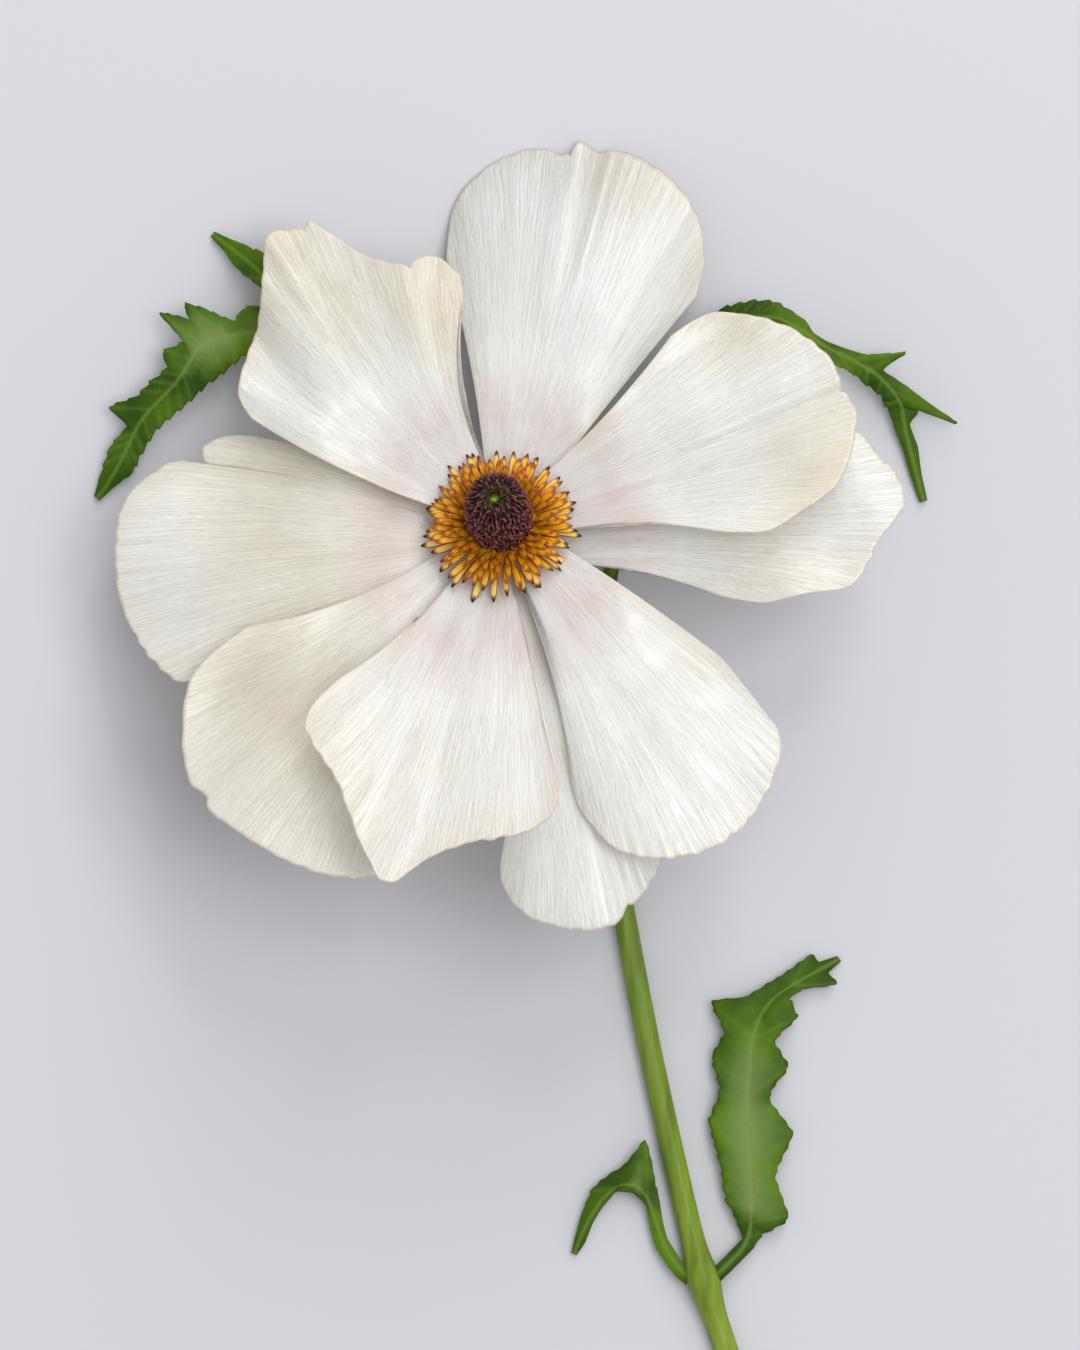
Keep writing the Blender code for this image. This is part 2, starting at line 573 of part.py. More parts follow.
def blade_stations(blade):
    """Left edge, middle height and right edge of a leaf blade at each of its stations, stalk first."""
    lefts, rights = [], []
    stalk = smooth_line(blade["stalk"], 3 * len(blade["stalk"])) if blade["stalk"] else np.empty((0, 3))
    if len(stalk):
        ahead = np.gradient(stalk[:, :2], axis=0)
        ahead /= np.linalg.norm(ahead, axis=1)[:, None]
        side = np.column_stack([ahead[:, 1], -ahead[:, 0]]) * STALK_HALF_WIDTH
        lefts, rights = list(stalk[:, :2] - side), list(stalk[:, :2] + side)
    lefts += [left for left, right in blade["edges"]]
    rights += [right for left, right in blade["edges"]]
    steps = np.linspace(0, len(blade["heights"]) - 1, len(blade["edges"]))
    heights = np.interp(steps, np.arange(len(blade["heights"])), blade["heights"])
    return np.array(lefts), np.array(rights), np.concatenate([stalk[:, 2], heights])


def leaf_surface(blade, along, across):
    """Points of a leaf blade's middle surface, which falls away a little from its midrib to both edges."""
    lefts, rights, heights = blade_stations(blade)
    station = np.rint(along * (len(heights) - 1)).astype(int)
    left, right = lefts[station], rights[station]
    plan = left + (right - left) * ((across + 1) / 2)[:, None]
    fall = LEAF_ARCH * np.linalg.norm(right - left, axis=1) * across**2
    return np.column_stack([plan, laid_down(heights[station] - fall, LEAF_BLADE)])


def build_leaves(collection):
    for name, blades in LEAVES.items():
        meshes = []
        for number, blade in enumerate(blades):
            cells = (len(blade_stations(blade)[2]) - 1, LEAF_CELLS_ACROSS)
            mesh = grid_mesh("blade", cells, lambda s, t, b=blade: leaf_surface(b, s, t))
            obj = add_object(f"{name}_{number}", mesh, "leaf", collection)
            thicken(obj, LEAF_BLADE)
            bpy.context.view_layer.update()
            meshes.append(applied(obj))
        if len(meshes) == 1:
            add_object(name, meshes[0], "leaf", collection)
        else:
            fuse(name, meshes[0], meshes[1:], "leaf", collection)


def main():
    for obj in list(bpy.data.objects):
        bpy.data.objects.remove(obj)
    collection = bpy.data.collections.new("ranunculus")
    bpy.context.scene.collection.children.link(collection)
    build_stem(collection)
    build_calyx(collection)
    build_petals(collection)
    build_stamens(collection)
    build_carpels(collection)
    build_leaves(collection)
    plant = bpy.data.objects.new("plant", None)
    collection.objects.link(plant)
    for obj in collection.objects:
        if obj is not plant:
            obj.parent = plant
    plant.location = (-REST_POINT[0] * MM, -REST_POINT[1] * MM, 0)


main()
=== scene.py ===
"""A picked white butterfly ranunculus, its stem laid down on a pale surface, seen from above.

Sizes are in millimetres, and MM turns them into metres when a mesh is made. Plan positions count from the
middle of the bloom, and PLANT_SHIFT moves them into the frame that the solids share.
"""

import math

import bmesh
import bpy
import numpy as np
from mathutils import Matrix, Vector


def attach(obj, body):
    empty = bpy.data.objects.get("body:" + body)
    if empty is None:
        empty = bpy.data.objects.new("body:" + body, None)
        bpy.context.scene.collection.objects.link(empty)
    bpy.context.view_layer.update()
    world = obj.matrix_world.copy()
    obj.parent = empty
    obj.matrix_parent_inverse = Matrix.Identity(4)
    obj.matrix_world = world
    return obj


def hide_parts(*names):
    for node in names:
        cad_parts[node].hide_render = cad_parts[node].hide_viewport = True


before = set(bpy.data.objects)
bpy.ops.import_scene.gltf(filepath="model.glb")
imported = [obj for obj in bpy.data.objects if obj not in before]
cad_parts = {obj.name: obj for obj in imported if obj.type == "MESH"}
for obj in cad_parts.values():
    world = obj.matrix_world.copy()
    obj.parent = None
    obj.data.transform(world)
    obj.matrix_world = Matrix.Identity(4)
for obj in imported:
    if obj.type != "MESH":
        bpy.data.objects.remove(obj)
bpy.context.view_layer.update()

# Stem
# The stem of the flower: a ribbed, finely haired green tube, hollow where it was cut. It lies on the
# surface, swells at its two leaf joints and bends up in a slim neck that carries the bloom.
MM = 0.001
PLANT_SHIFT = np.array([-9.2, 24.0, 0.0])
STEM_ROUTE = [(24.2, -86, 0), (21.4, -77.5, 0), (18.3, -68, 0), (15.6, -57, 0), (13.2, -46, 0),
              (11, -34.5, 0), (9.2, -24, 0), (7.7, -16.5, 0), (6, -10.6, 0.9), (4.2, -6.9, 3),
              (2.4, -4.2, 5.6)]
STEM_RADIUS = (1.18, 0.96)
STEM_JOINTS = (-17.5, -68.0)
JOINT_SWELL, JOINT_LENGTH = 0.42, 2.2
STEM_SAMPLES, STEM_SIDES = 220, 28
STEM_RIBS, RIB_DEPTH, RIB_TWIST = 7, 0.035, 0.05
HAIR_LENGTH = 0.55
HAIR_RADII = (0.006 * MM, 0.022 * MM)
HAIR_LEAN = ((-0.5, 0.0, -0.35), (0.5, 0.9, 0.35))
HAIR_SIZES = (0.6, 1.1)
HAIRS_PER_SQUARE_MM = 1.1
CUT_WALL, CUT_DEPTH = 0.32, 3.0
BLOOM_HEIGHT = 12.5
BLOOM_AXIS = Vector((-0.07, 0.30, 0.951)).normalized()
NECK_HEIGHTS = (-4.2, -1.5)
STEM_GREEN, STEM_LIGHT, STEM_PATCH = (0.13, 0.21, 0.012), (0.26, 0.35, 0.04), (0.2, 0.24, 0.05)
HAIR_COLOUR = (0.62, 0.68, 0.45)


def lengths_along(points, axis=0):
    """How far each point of a line or a grid lies from its start along an axis."""
    steps = np.linalg.norm(np.diff(points, axis=axis), axis=-1)
    return np.insert(steps.cumsum(axis=axis), 0, 0, axis=axis)


def smooth_line(points, samples):
    """A smooth line through the points, as that many points evenly spaced along it."""
    p = np.array(points, float)
    p = np.vstack([2 * p[0] - p[1], p, 2 * p[-1] - p[-2]])
    u = np.linspace(0, 1, 24, endpoint=False)[:, None]
    runs = []
    for a, b, c, d in zip(p[:-3], p[1:-2], p[2:-1], p[3:]):
        bend = (2 * a - 5 * b + 4 * c - d) * u**2 + (3 * b - a - 3 * c + d) * u**3
        runs.append(0.5 * (2 * b + (c - a) * u + bend))
    dense = np.vstack([*runs, p[-2]])
    along = lengths_along(dense)
    at = np.linspace(0, along[-1], samples)
    return np.stack([np.interp(at, along, dense[:, k]) for k in range(dense.shape[1])], axis=1)


def on_axis(radius, angle, height):
    """A point given round the bloom's own axis, with height counted from the lowest whorl of petals."""
    side = BLOOM_AXIS.cross(Vector((0, 0, 1))).normalized()
    turned = side.cross(BLOOM_AXIS) * math.cos(angle) + side * math.sin(angle)
    return Vector((0, 0, BLOOM_HEIGHT)) + BLOOM_AXIS * height + turned * radius


def mesh_of(name, bm):
    """The mesh of a bmesh, which is freed."""
    mesh = bpy.data.meshes.new(name)
    bm.to_mesh(mesh)
    bm.free()
    return mesh


def tube(rings, **notes):
    """A tube through rings of points, closed at both ends, and its first end. Its points store the notes,
    given ring by ring."""
    bm = bmesh.new()
    layers = [bm.verts.layers.float.new(name) for name in notes]
    loops = []
    for k, ring in enumerate(rings):
        loops.append([bm.verts.new(Vector(point)) for point in ring])
        for layer, values in zip(layers, notes.values()):
            for vert, value in zip(loops[-1], np.broadcast_to(values[k], len(ring))):
                vert[layer] = value
    for low, high in zip(loops, loops[1:]):
        for corners in zip(low, low[1:] + low[:1], high[1:] + high[:1], high):
            bm.faces.new(corners)
    first = bm.faces.new(loops[0][::-1])
    bm.faces.new(loops[-1])
    return bm, first


def new_object(name, data):
    """An object in the scene, at the origin."""
    made = bpy.data.objects.new(name, data)
    bpy.context.scene.collection.objects.link(made)
    return made


def feed(value, socket):
    """Links a node's first output or a given output to an input, or sets the input to a plain value."""
    if isinstance(value, bpy.types.Node):
        value = next(s for s in value.outputs if s.enabled)
    if isinstance(value, bpy.types.NodeSocket):
        socket.id_data.links.new(value, socket)
    else:
        socket.default_value = (*value, 1) if socket.type == "RGBA" else value


def node(tree, kind, *values, **named):
    """Adds a node. Values go to its enabled inputs in order. A name in small letters is a setting of it,
    and any other name is an input's."""
    made = tree.nodes.new(kind)
    for name, value in named.items():
        if name.islower():
            setattr(made, name, value)
    sockets = [s for s in made.inputs if s.enabled]
    for socket, value in zip(sockets, values):
        feed(value, socket)
    for name, value in named.items():
        if not name.islower():
            feed(value, next(s for s in sockets if s.name == name.replace("_", " ")))
    return made


def maths(operation, a, *b):
    return node(a.id_data, "ShaderNodeMath", a, *b, operation=operation)


def times(a, b):
    return maths("MULTIPLY", a, b)


def plus(a, b):
    return maths("ADD", a, b)


def vectors(operation, a, *b):
    return node(a.id_data, "ShaderNodeVectorMath", a, *b, operation=operation)


def ramp(factor, *stops):
    """A colour that follows a factor through stops: a position, then a colour or one number for a grey."""
    made = node(factor.id_data, "ShaderNodeValToRGB", factor)
    elements = made.color_ramp.elements
    while len(elements) < len(stops):
        elements.new(0.5)
    for element, (position, *colour) in zip(elements, stops):
        element.position = position
        element.color = (*(colour * 3)[:3], 1)
    return made


def mixed(factor, a, b, blend="MIX"):
    """Colour b over colour a, as far as the factor says."""
    return node(factor.id_data, "ShaderNodeMix", factor, a, b, data_type="RGBA", blend_type=blend)


def noise(place, stretch, detail=3.0, roughness=0.55):
    """Noise on a set of coordinates, with that many waves to a unit along each axis."""
    scaled = node(place.id_data, "ShaderNodeMapping", place, Scale=stretch)
    return node(place.id_data, "ShaderNodeTexNoise", scaled, Scale=1.0, Detail=detail, Roughness=roughness)


def grain(tree, *stretch, detail=3.0):
    """Noise in the object's own coordinates, with that many waves to a metre, in all or along each."""
    return noise(node(tree, "ShaderNodeTexCoord").outputs["Object"], stretch * (3 // len(stretch)), detail)


def stored(tree, name, output="Fac"):
    """What the mesh stores on its points under that name."""
    return node(tree, "ShaderNodeAttribute", attribute_name=name).outputs[output]


def bump(shader, height, distance, strength=0.5):
    """Raises a shader's surface where the height is high."""
    made = node(shader.id_data, "ShaderNodeBump", Strength=strength, Distance=distance, Height=height)
    feed(made, shader.inputs["Normal"])


def chance(tree, low, high, seed):
    """A random number for each point, or a random vector between two vectors."""
    kind = "FLOAT" if isinstance(low, float) else "FLOAT_VECTOR"
    return node(tree, "FunctionNodeRandomValue", low, high, data_type=kind, Seed=seed)


def new_finish(name, **constants):
    """A material with those values set on its shader. Returns the material, its tree and its shader."""
    made = bpy.data.materials.new(name)
    made.use_nodes = True
    shader = made.node_tree.nodes["Principled BSDF"]
    for label, value in constants.items():
        feed(value, shader.inputs[label.replace("_", " ")])
    return made, made.node_tree, shader


def geometry_group(name, values):
    """A Geometry Nodes tree with those named inputs, what they give in it, and the input at its end."""
    tree = bpy.data.node_groups.new(name, "GeometryNodeTree")
    tree.interface.new_socket("Geometry", in_out="INPUT", socket_type="NodeSocketGeometry")
    for label, value in values.items():
        kind = type(value).__name__.capitalize()
        tree.interface.new_socket(label, in_out="INPUT", socket_type="NodeSocket" + kind)
    tree.interface.new_socket("Geometry", in_out="OUTPUT", socket_type="NodeSocketGeometry")
    return tree, tree.nodes.new("NodeGroupInput").outputs, tree.nodes.new("NodeGroupOutput").inputs[0]


def placed_on(points, instance, rotation, size, material, end, base=None, note=None):
    """Ends a tree: an instance on each point, made real, joined to a base and given its material."""
    tree = end.id_data
    made = node(tree, "GeometryNodeInstanceOnPoints", points, Instance=instance, Rotation=rotation,
                Scale=size)
    if note is not None:
        made = node(tree, "GeometryNodeStoreNamedAttribute", made, Name="inward", Value=note,
                    domain="INSTANCE")
    made = node(tree, "GeometryNodeRealizeInstances", made)
    if base is not None:
        both = node(tree, "GeometryNodeJoinGeometry", base)
        feed(made, both.inputs[0])
        made = both
    feed(node(tree, "GeometryNodeSetMaterial", made, Material=material), end)


def grown(name, base, tree, values):
    """The mesh that a Geometry Nodes tree makes from a base mesh and its inputs' values."""
    carrier = new_object(name + "_carrier", base)
    modifier = carrier.modifiers.new("grow", "NODES")
    modifier.node_group = tree
    for item in tree.interface.items_tree:
        if item.in_out == "INPUT" and item.name in values:
            modifier[item.identifier] = values[item.name]
    bpy.context.view_layer.update()
    graph = bpy.context.evaluated_depsgraph_get()
    mesh = bpy.data.meshes.new_from_object(carrier.evaluated_get(graph))
    mesh.name = name
    bpy.data.objects.remove(carrier)
    return mesh


def finished(name, mesh, nodes, finish=None):
    """Puts a mesh in the scene, in its finish, as a piece that stands for CAD nodes."""
    if finish:
        mesh.materials.append(finish)
    obj = new_object(name, mesh)
    mesh.shade_smooth()
    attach(obj, "root")
    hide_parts(*nodes)


neck = [tuple(on_axis(0, 0, h) - Vector((0, 0, STEM_RADIUS[1]))) for h in NECK_HEIGHTS]
centres = smooth_line([*STEM_ROUTE, *neck], STEM_SAMPLES)
radii = STEM_RADIUS[1] + (STEM_RADIUS[0] - STEM_RADIUS[1]) * centres[:, 1] / STEM_ROUTE[0][1]
for joint in STEM_JOINTS:
    radii += JOINT_SWELL * np.exp(-(((centres[:, 1] - joint) / JOINT_LENGTH) ** 2))
centres[:, 2] = np.maximum(centres[:, 2], 0) + radii * math.cos(math.pi / 8)

rings = []
for k, (centre, radius) in enumerate(zip(centres, radii)):
    ahead = Vector(centres[min(k + 1, len(centres) - 1)] - centres[max(k - 1, 0)]).normalized()
    side = ahead.cross(Vector((0, 0, 1))).normalized()
    up = side.cross(ahead)
    ring = []
    for angle in np.arange(STEM_SIDES) * math.tau / STEM_SIDES:
        ribbed = radius * (1 - RIB_DEPTH + RIB_DEPTH * math.cos(STEM_RIBS * angle + RIB_TWIST * k))
        ring.append(Vector(centre) + side * (ribbed * math.cos(angle)) + up * (ribbed * math.sin(angle)))
    rings.append(ring)
stem_bm, cut = tube(rings)
bmesh.ops.inset_region(stem_bm, faces=[cut], thickness=CUT_WALL, use_even_offset=True)
into_stem = Vector(centres[4] - centres[0]).normalized() * CUT_DEPTH
mouth = list(cut.verts)
well = [stem_bm.verts.new(vert.co + into_stem) for vert in mouth]
stem_bm.faces.new(well)
for corners in zip(mouth, mouth[1:] + mouth[:1], well[1:] + well[:1], well):
    stem_bm.faces.new(corners)
stem_bm.faces.remove(cut)
for vert in stem_bm.verts:
    vert.co.z = max(vert.co.z, 0.0)
bmesh.ops.recalc_face_normals(stem_bm, faces=stem_bm.faces)
stem_bm.transform(Matrix.Scale(MM, 4) @ Matrix.Translation(PLANT_SHIFT))
stem_body = mesh_of("stem_body", stem_bm)

stem_finish, tree, shader = new_finish(
    "stem green", Roughness=0.45, Subsurface_Weight=0.12, Subsurface_Scale=0.0008, Specular_IOR_Level=0.3)
streaks = grain(tree, 900, 70, 900)
green = ramp(streaks, (0.3, *STEM_GREEN), (0.7, *STEM_LIGHT))
green = mixed(grain(tree, 60, detail=2.0), green, STEM_PATCH, blend="SOFT_LIGHT")
feed(green, shader.inputs["Base Color"])
bump(shader, streaks, 0.00012)

hair_finish = new_finish("plant hair", Roughness=0.5, Base_Color=HAIR_COLOUR)[0]
hair_inputs = {"Hair material": hair_finish, "Hairs per area": HAIRS_PER_SQUARE_MM / MM**2,
               "Hair length": HAIR_LENGTH * MM, "Seed": 3}
hair_tree, given, end = geometry_group("plant hairs", hair_inputs)
scatter = node(hair_tree, "GeometryNodeDistributePointsOnFaces", given["Geometry"],
               Density=given["Hairs per area"], Seed=given["Seed"])
hair = node(hair_tree, "GeometryNodeMeshCone", 3, 1, 1, *HAIR_RADII, given["Hair length"], fill_type="NGON")
heading = vectors("ADD", scatter.outputs["Normal"], chance(hair_tree, *HAIR_LEAN, 0))
turn = node(hair_tree, "FunctionNodeAlignRotationToVector", axis="Z", Vector=heading)
placed_on(scatter, hair, turn, chance(hair_tree, *HAIR_SIZES, 0), given["Hair material"], end)
hairs = grown("stem_hairs", stem_body, hair_tree, hair_inputs)
finished("stem_tube", stem_body, ["stem"], stem_finish)
for vert in hairs.vertices:
    vert.co.z = max(vert.co.z, 0.00002)
finished("stem_hair", hairs, ["stem"])

# Calyx
# The green receptacle at the top of the stem and its five small boat-shaped sepals, which bend back under
# the petals once the bloom is open. All of it is one with the stem's flesh and has short silky hairs.
RECEPTACLE = [(0.0, 3.95), (2.2, 3.95), (2.45, 3.6), (2.8, 3.0), (2.95, 1.2), (2.9, -0.6), (2.4, -1.3),
              (1.1, -1.75), (0.9, -2.1), (0.0, -2.1)]
RECEPTACLE_SIDES = 48
SEPAL_COUNT, SEPAL_TURN = 5, 0.35
SEPAL_ROWS, SEPAL_COLUMNS = 25, 15
SEPAL_SPAN = (1.8, 11.0)
SEPAL_HEIGHT = (-1.1, -4.6)
SEPAL_HALF_WIDTH, SEPAL_CUP, SEPAL_THICKNESS = 2.1, 0.7, 0.3
NORMAL_BLURS = 3
CALYX_HAIRS_PER_SQUARE_MM, CALYX_HAIR_LENGTH = 3.0, 0.6
SEPAL_GREEN, SEPAL_PALE, SEPAL_FIBRE = (0.17, 0.27, 0.05), (0.36, 0.44, 0.18), (0.24, 0.35, 0.09)


def turned(name, profile, sides):
    """A closed solid of revolution from (radius, height) pairs: axis to axis, or else a ring."""
    bm = bmesh.new()
    turns = np.arange(sides) * math.tau / sides
    rows = []
    for radius, height in profile:
        if radius < 1e-6:
            rows.append([bm.verts.new((0, 0, height))] * sides)
        else:
            rows.append([bm.verts.new((radius * math.cos(a), radius * math.sin(a), height)) for a in turns])
    if profile[0][0] > 0:
        rows.append(rows[0])
    for high, low in zip(rows, rows[1:]):
        for corners in zip(high, low, low[1:] + low[:1], high[1:] + high[:1]):
            bm.faces.new(list(dict.fromkeys(corners)))
    return mesh_of(name, bm)


def blade_mesh(name, points, thickness, attributes):
    """A thin closed blade from a grid of middle points in millimetres, with attributes given per point."""
    rows, columns = points.shape[:2]
    normal = np.cross(np.gradient(points, axis=1), np.gradient(points, axis=0))
    for _ in range(NORMAL_BLURS):
        normal[:, 1:-1] = (normal[:, :-2] + 2 * normal[:, 1:-1] + normal[:, 2:]) / 4
    normal /= np.maximum(np.linalg.norm(normal, axis=2, keepdims=True), 1e-9)
    half = normal * np.broadcast_to(thickness, (rows, columns))[..., None] / 2
    corners = np.concatenate([(points + half).reshape(-1, 3), (points - half).reshape(-1, 3)])
    corners[:, 2] = np.maximum(corners[:, 2], 0.0)
    index = np.arange(rows * columns).reshape(rows, columns)
    top = np.stack([index[:-1, :-1], index[:-1, 1:], index[1:, 1:], index[1:, :-1]], axis=-1).reshape(-1, 4)
    rim = np.concatenate([index[0, :-1], index[:-1, -1], index[-1, :0:-1], index[:0:-1, 0]])
    onward = np.roll(rim, -1)
    under = rows * columns
    sides = np.stack([rim, rim + under, onward + under, onward], axis=-1)
    mesh = bpy.data.meshes.new(name)
    mesh.from_pydata(corners.tolist(), [], np.concatenate([top, top[:, ::-1] + under, sides]).tolist())
    for label, values in attributes.items():
        kind, field = ("FLOAT_VECTOR", "vector") if values.ndim == 3 else ("FLOAT", "value")
        twice = np.concatenate([values.reshape(rows * columns, -1)] * 2).astype(np.float32)
        mesh.attributes.new(label, kind, "POINT").data.foreach_set(field, twice.ravel())
    bm = bmesh.new()
    bm.from_mesh(mesh)
    bmesh.ops.recalc_face_normals(bm, faces=bm.faces)
    bm.to_mesh(mesh)
    bm.free()
    mesh.transform(Matrix.Scale(MM, 4))
    return mesh


def ease(x, start, end):
    """0 before start, 1 after end, and a smooth step between them."""
    t = np.clip((x - start) / (end - start), 0, 1)
    return t * t * (3 - 2 * t)


def joined(name, meshes):
    """One mesh from several, with their attributes."""
    whole = bmesh.new()
    for mesh in meshes:
        whole.from_mesh(mesh)
    return mesh_of(name, whole)


sepals = []
along, across = np.meshgrid(np.linspace(0, 1, SEPAL_ROWS), np.linspace(-1, 1, SEPAL_COLUMNS), indexing="ij")
reach = SEPAL_SPAN[0] + (SEPAL_SPAN[1] - SEPAL_SPAN[0]) * along
outline = 0.17 + 0.83 * np.sin(np.pi * (0.12 + 0.86 * along) ** 0.9)
height = SEPAL_HEIGHT[0] + (SEPAL_HEIGHT[1] - SEPAL_HEIGHT[0]) * along**2 + SEPAL_CUP * across**2 * along
for k in range(SEPAL_COUNT):
    angle = math.tau * k / SEPAL_COUNT + SEPAL_TURN + across * SEPAL_HALF_WIDTH * outline / reach
    flat = [on_axis(r, a, h) for r, a, h in zip(reach.ravel(), angle.ravel(), height.ravel())]
    points = np.array(flat).reshape(*along.shape, 3) + PLANT_SHIFT
    sepals.append(blade_mesh("sepal", points, SEPAL_THICKNESS, {"edge": np.abs(across), "along": along}))
lean = BLOOM_AXIS.to_track_quat("Z", "Y").to_matrix().to_4x4()
onto_bloom = Matrix.Scale(MM, 4) @ Matrix.Translation((*PLANT_SHIFT[:2], BLOOM_HEIGHT)) @ lean
receptacle = turned("receptacle", RECEPTACLE, RECEPTACLE_SIDES)
receptacle.transform(onto_bloom)
calyx_mesh = joined("calyx_green", [receptacle, *sepals])

sepal_finish, tree, shader = new_finish(
    "sepal green", Roughness=0.5, Subsurface_Weight=0.15, Subsurface_Scale=0.0008)
fibres = grain(tree, 900)
green = ramp(stored(tree, "edge"), (0.55, *SEPAL_GREEN), (1.0, *SEPAL_PALE))
feed(mixed(times(fibres, 0.6), green, SEPAL_FIBRE), shader.inputs["Base Color"])
bump(shader, fibres, 0.0001, strength=0.4)
finished("calyx_green", calyx_mesh, ["calyx"], sepal_finish)
calyx_inputs = {**hair_inputs, "Hairs per area": CALYX_HAIRS_PER_SQUARE_MM / MM**2,
                "Hair length": CALYX_HAIR_LENGTH * MM, "Seed": 8}
finished("calyx_hair", grown("calyx_hair", calyx_mesh, hair_tree, calyx_inputs), ["calyx"])

# Petals
# Nine broad petals of thin white tissue in three whorls. Each springs from a narrow claw on the receptacle
# and fans out along fine forking veins, with a satin gloss, a mauve blush near the claw and a tan rim.
WHORL_PITCH = 1.08
CLAW_RADIUS = 2.7
BOWL_RISE, BOWL_LENGTH = 2.8, 8.0
SHAPE_STARTS, SHAPE_FULL = 6.0, 20.0
PRESS_SOFTNESS = 0.12
MARGIN_SAMPLES, SOFTENED_SAMPLES = 481, 121
MARGIN_SHARE = 0.07
PETAL_ROWS, PETAL_COLUMNS = 85, 141
PETAL_THICKNESS = (0.34, 0.16)
SWELL_HEIGHT, SWELL_LENGTHS = 0.22, (8.0, 15.0)
RIPPLE_HEIGHT, FRILL_HEIGHT, FRAY = 0.03, 0.04, 0.06
RIPPLE_WAVES, FRILL_WAVES, FRAY_WAVES = (10, 24), (30, 75), (22, 70)
COARSE_LINES, FINE_LINES = (37, 0.13), (83, 0.2)
STREAK_TINT, LINE_TINT = 0.08, 0.58
PETAL_WHITE, PETAL_BLUSH, PETAL_VEIN = (0.92, 0.905, 0.84), (0.60, 0.43, 0.44), (0.50, 0.43, 0.33)
# The cream colour is the petals' own cream in the band along the margin, and in the cream patches it is
# partly painted shade.
PETAL_CREAM_AND_SHADE, PETAL_RIM = (0.64, 0.56, 0.42), (0.50, 0.34, 0.18)
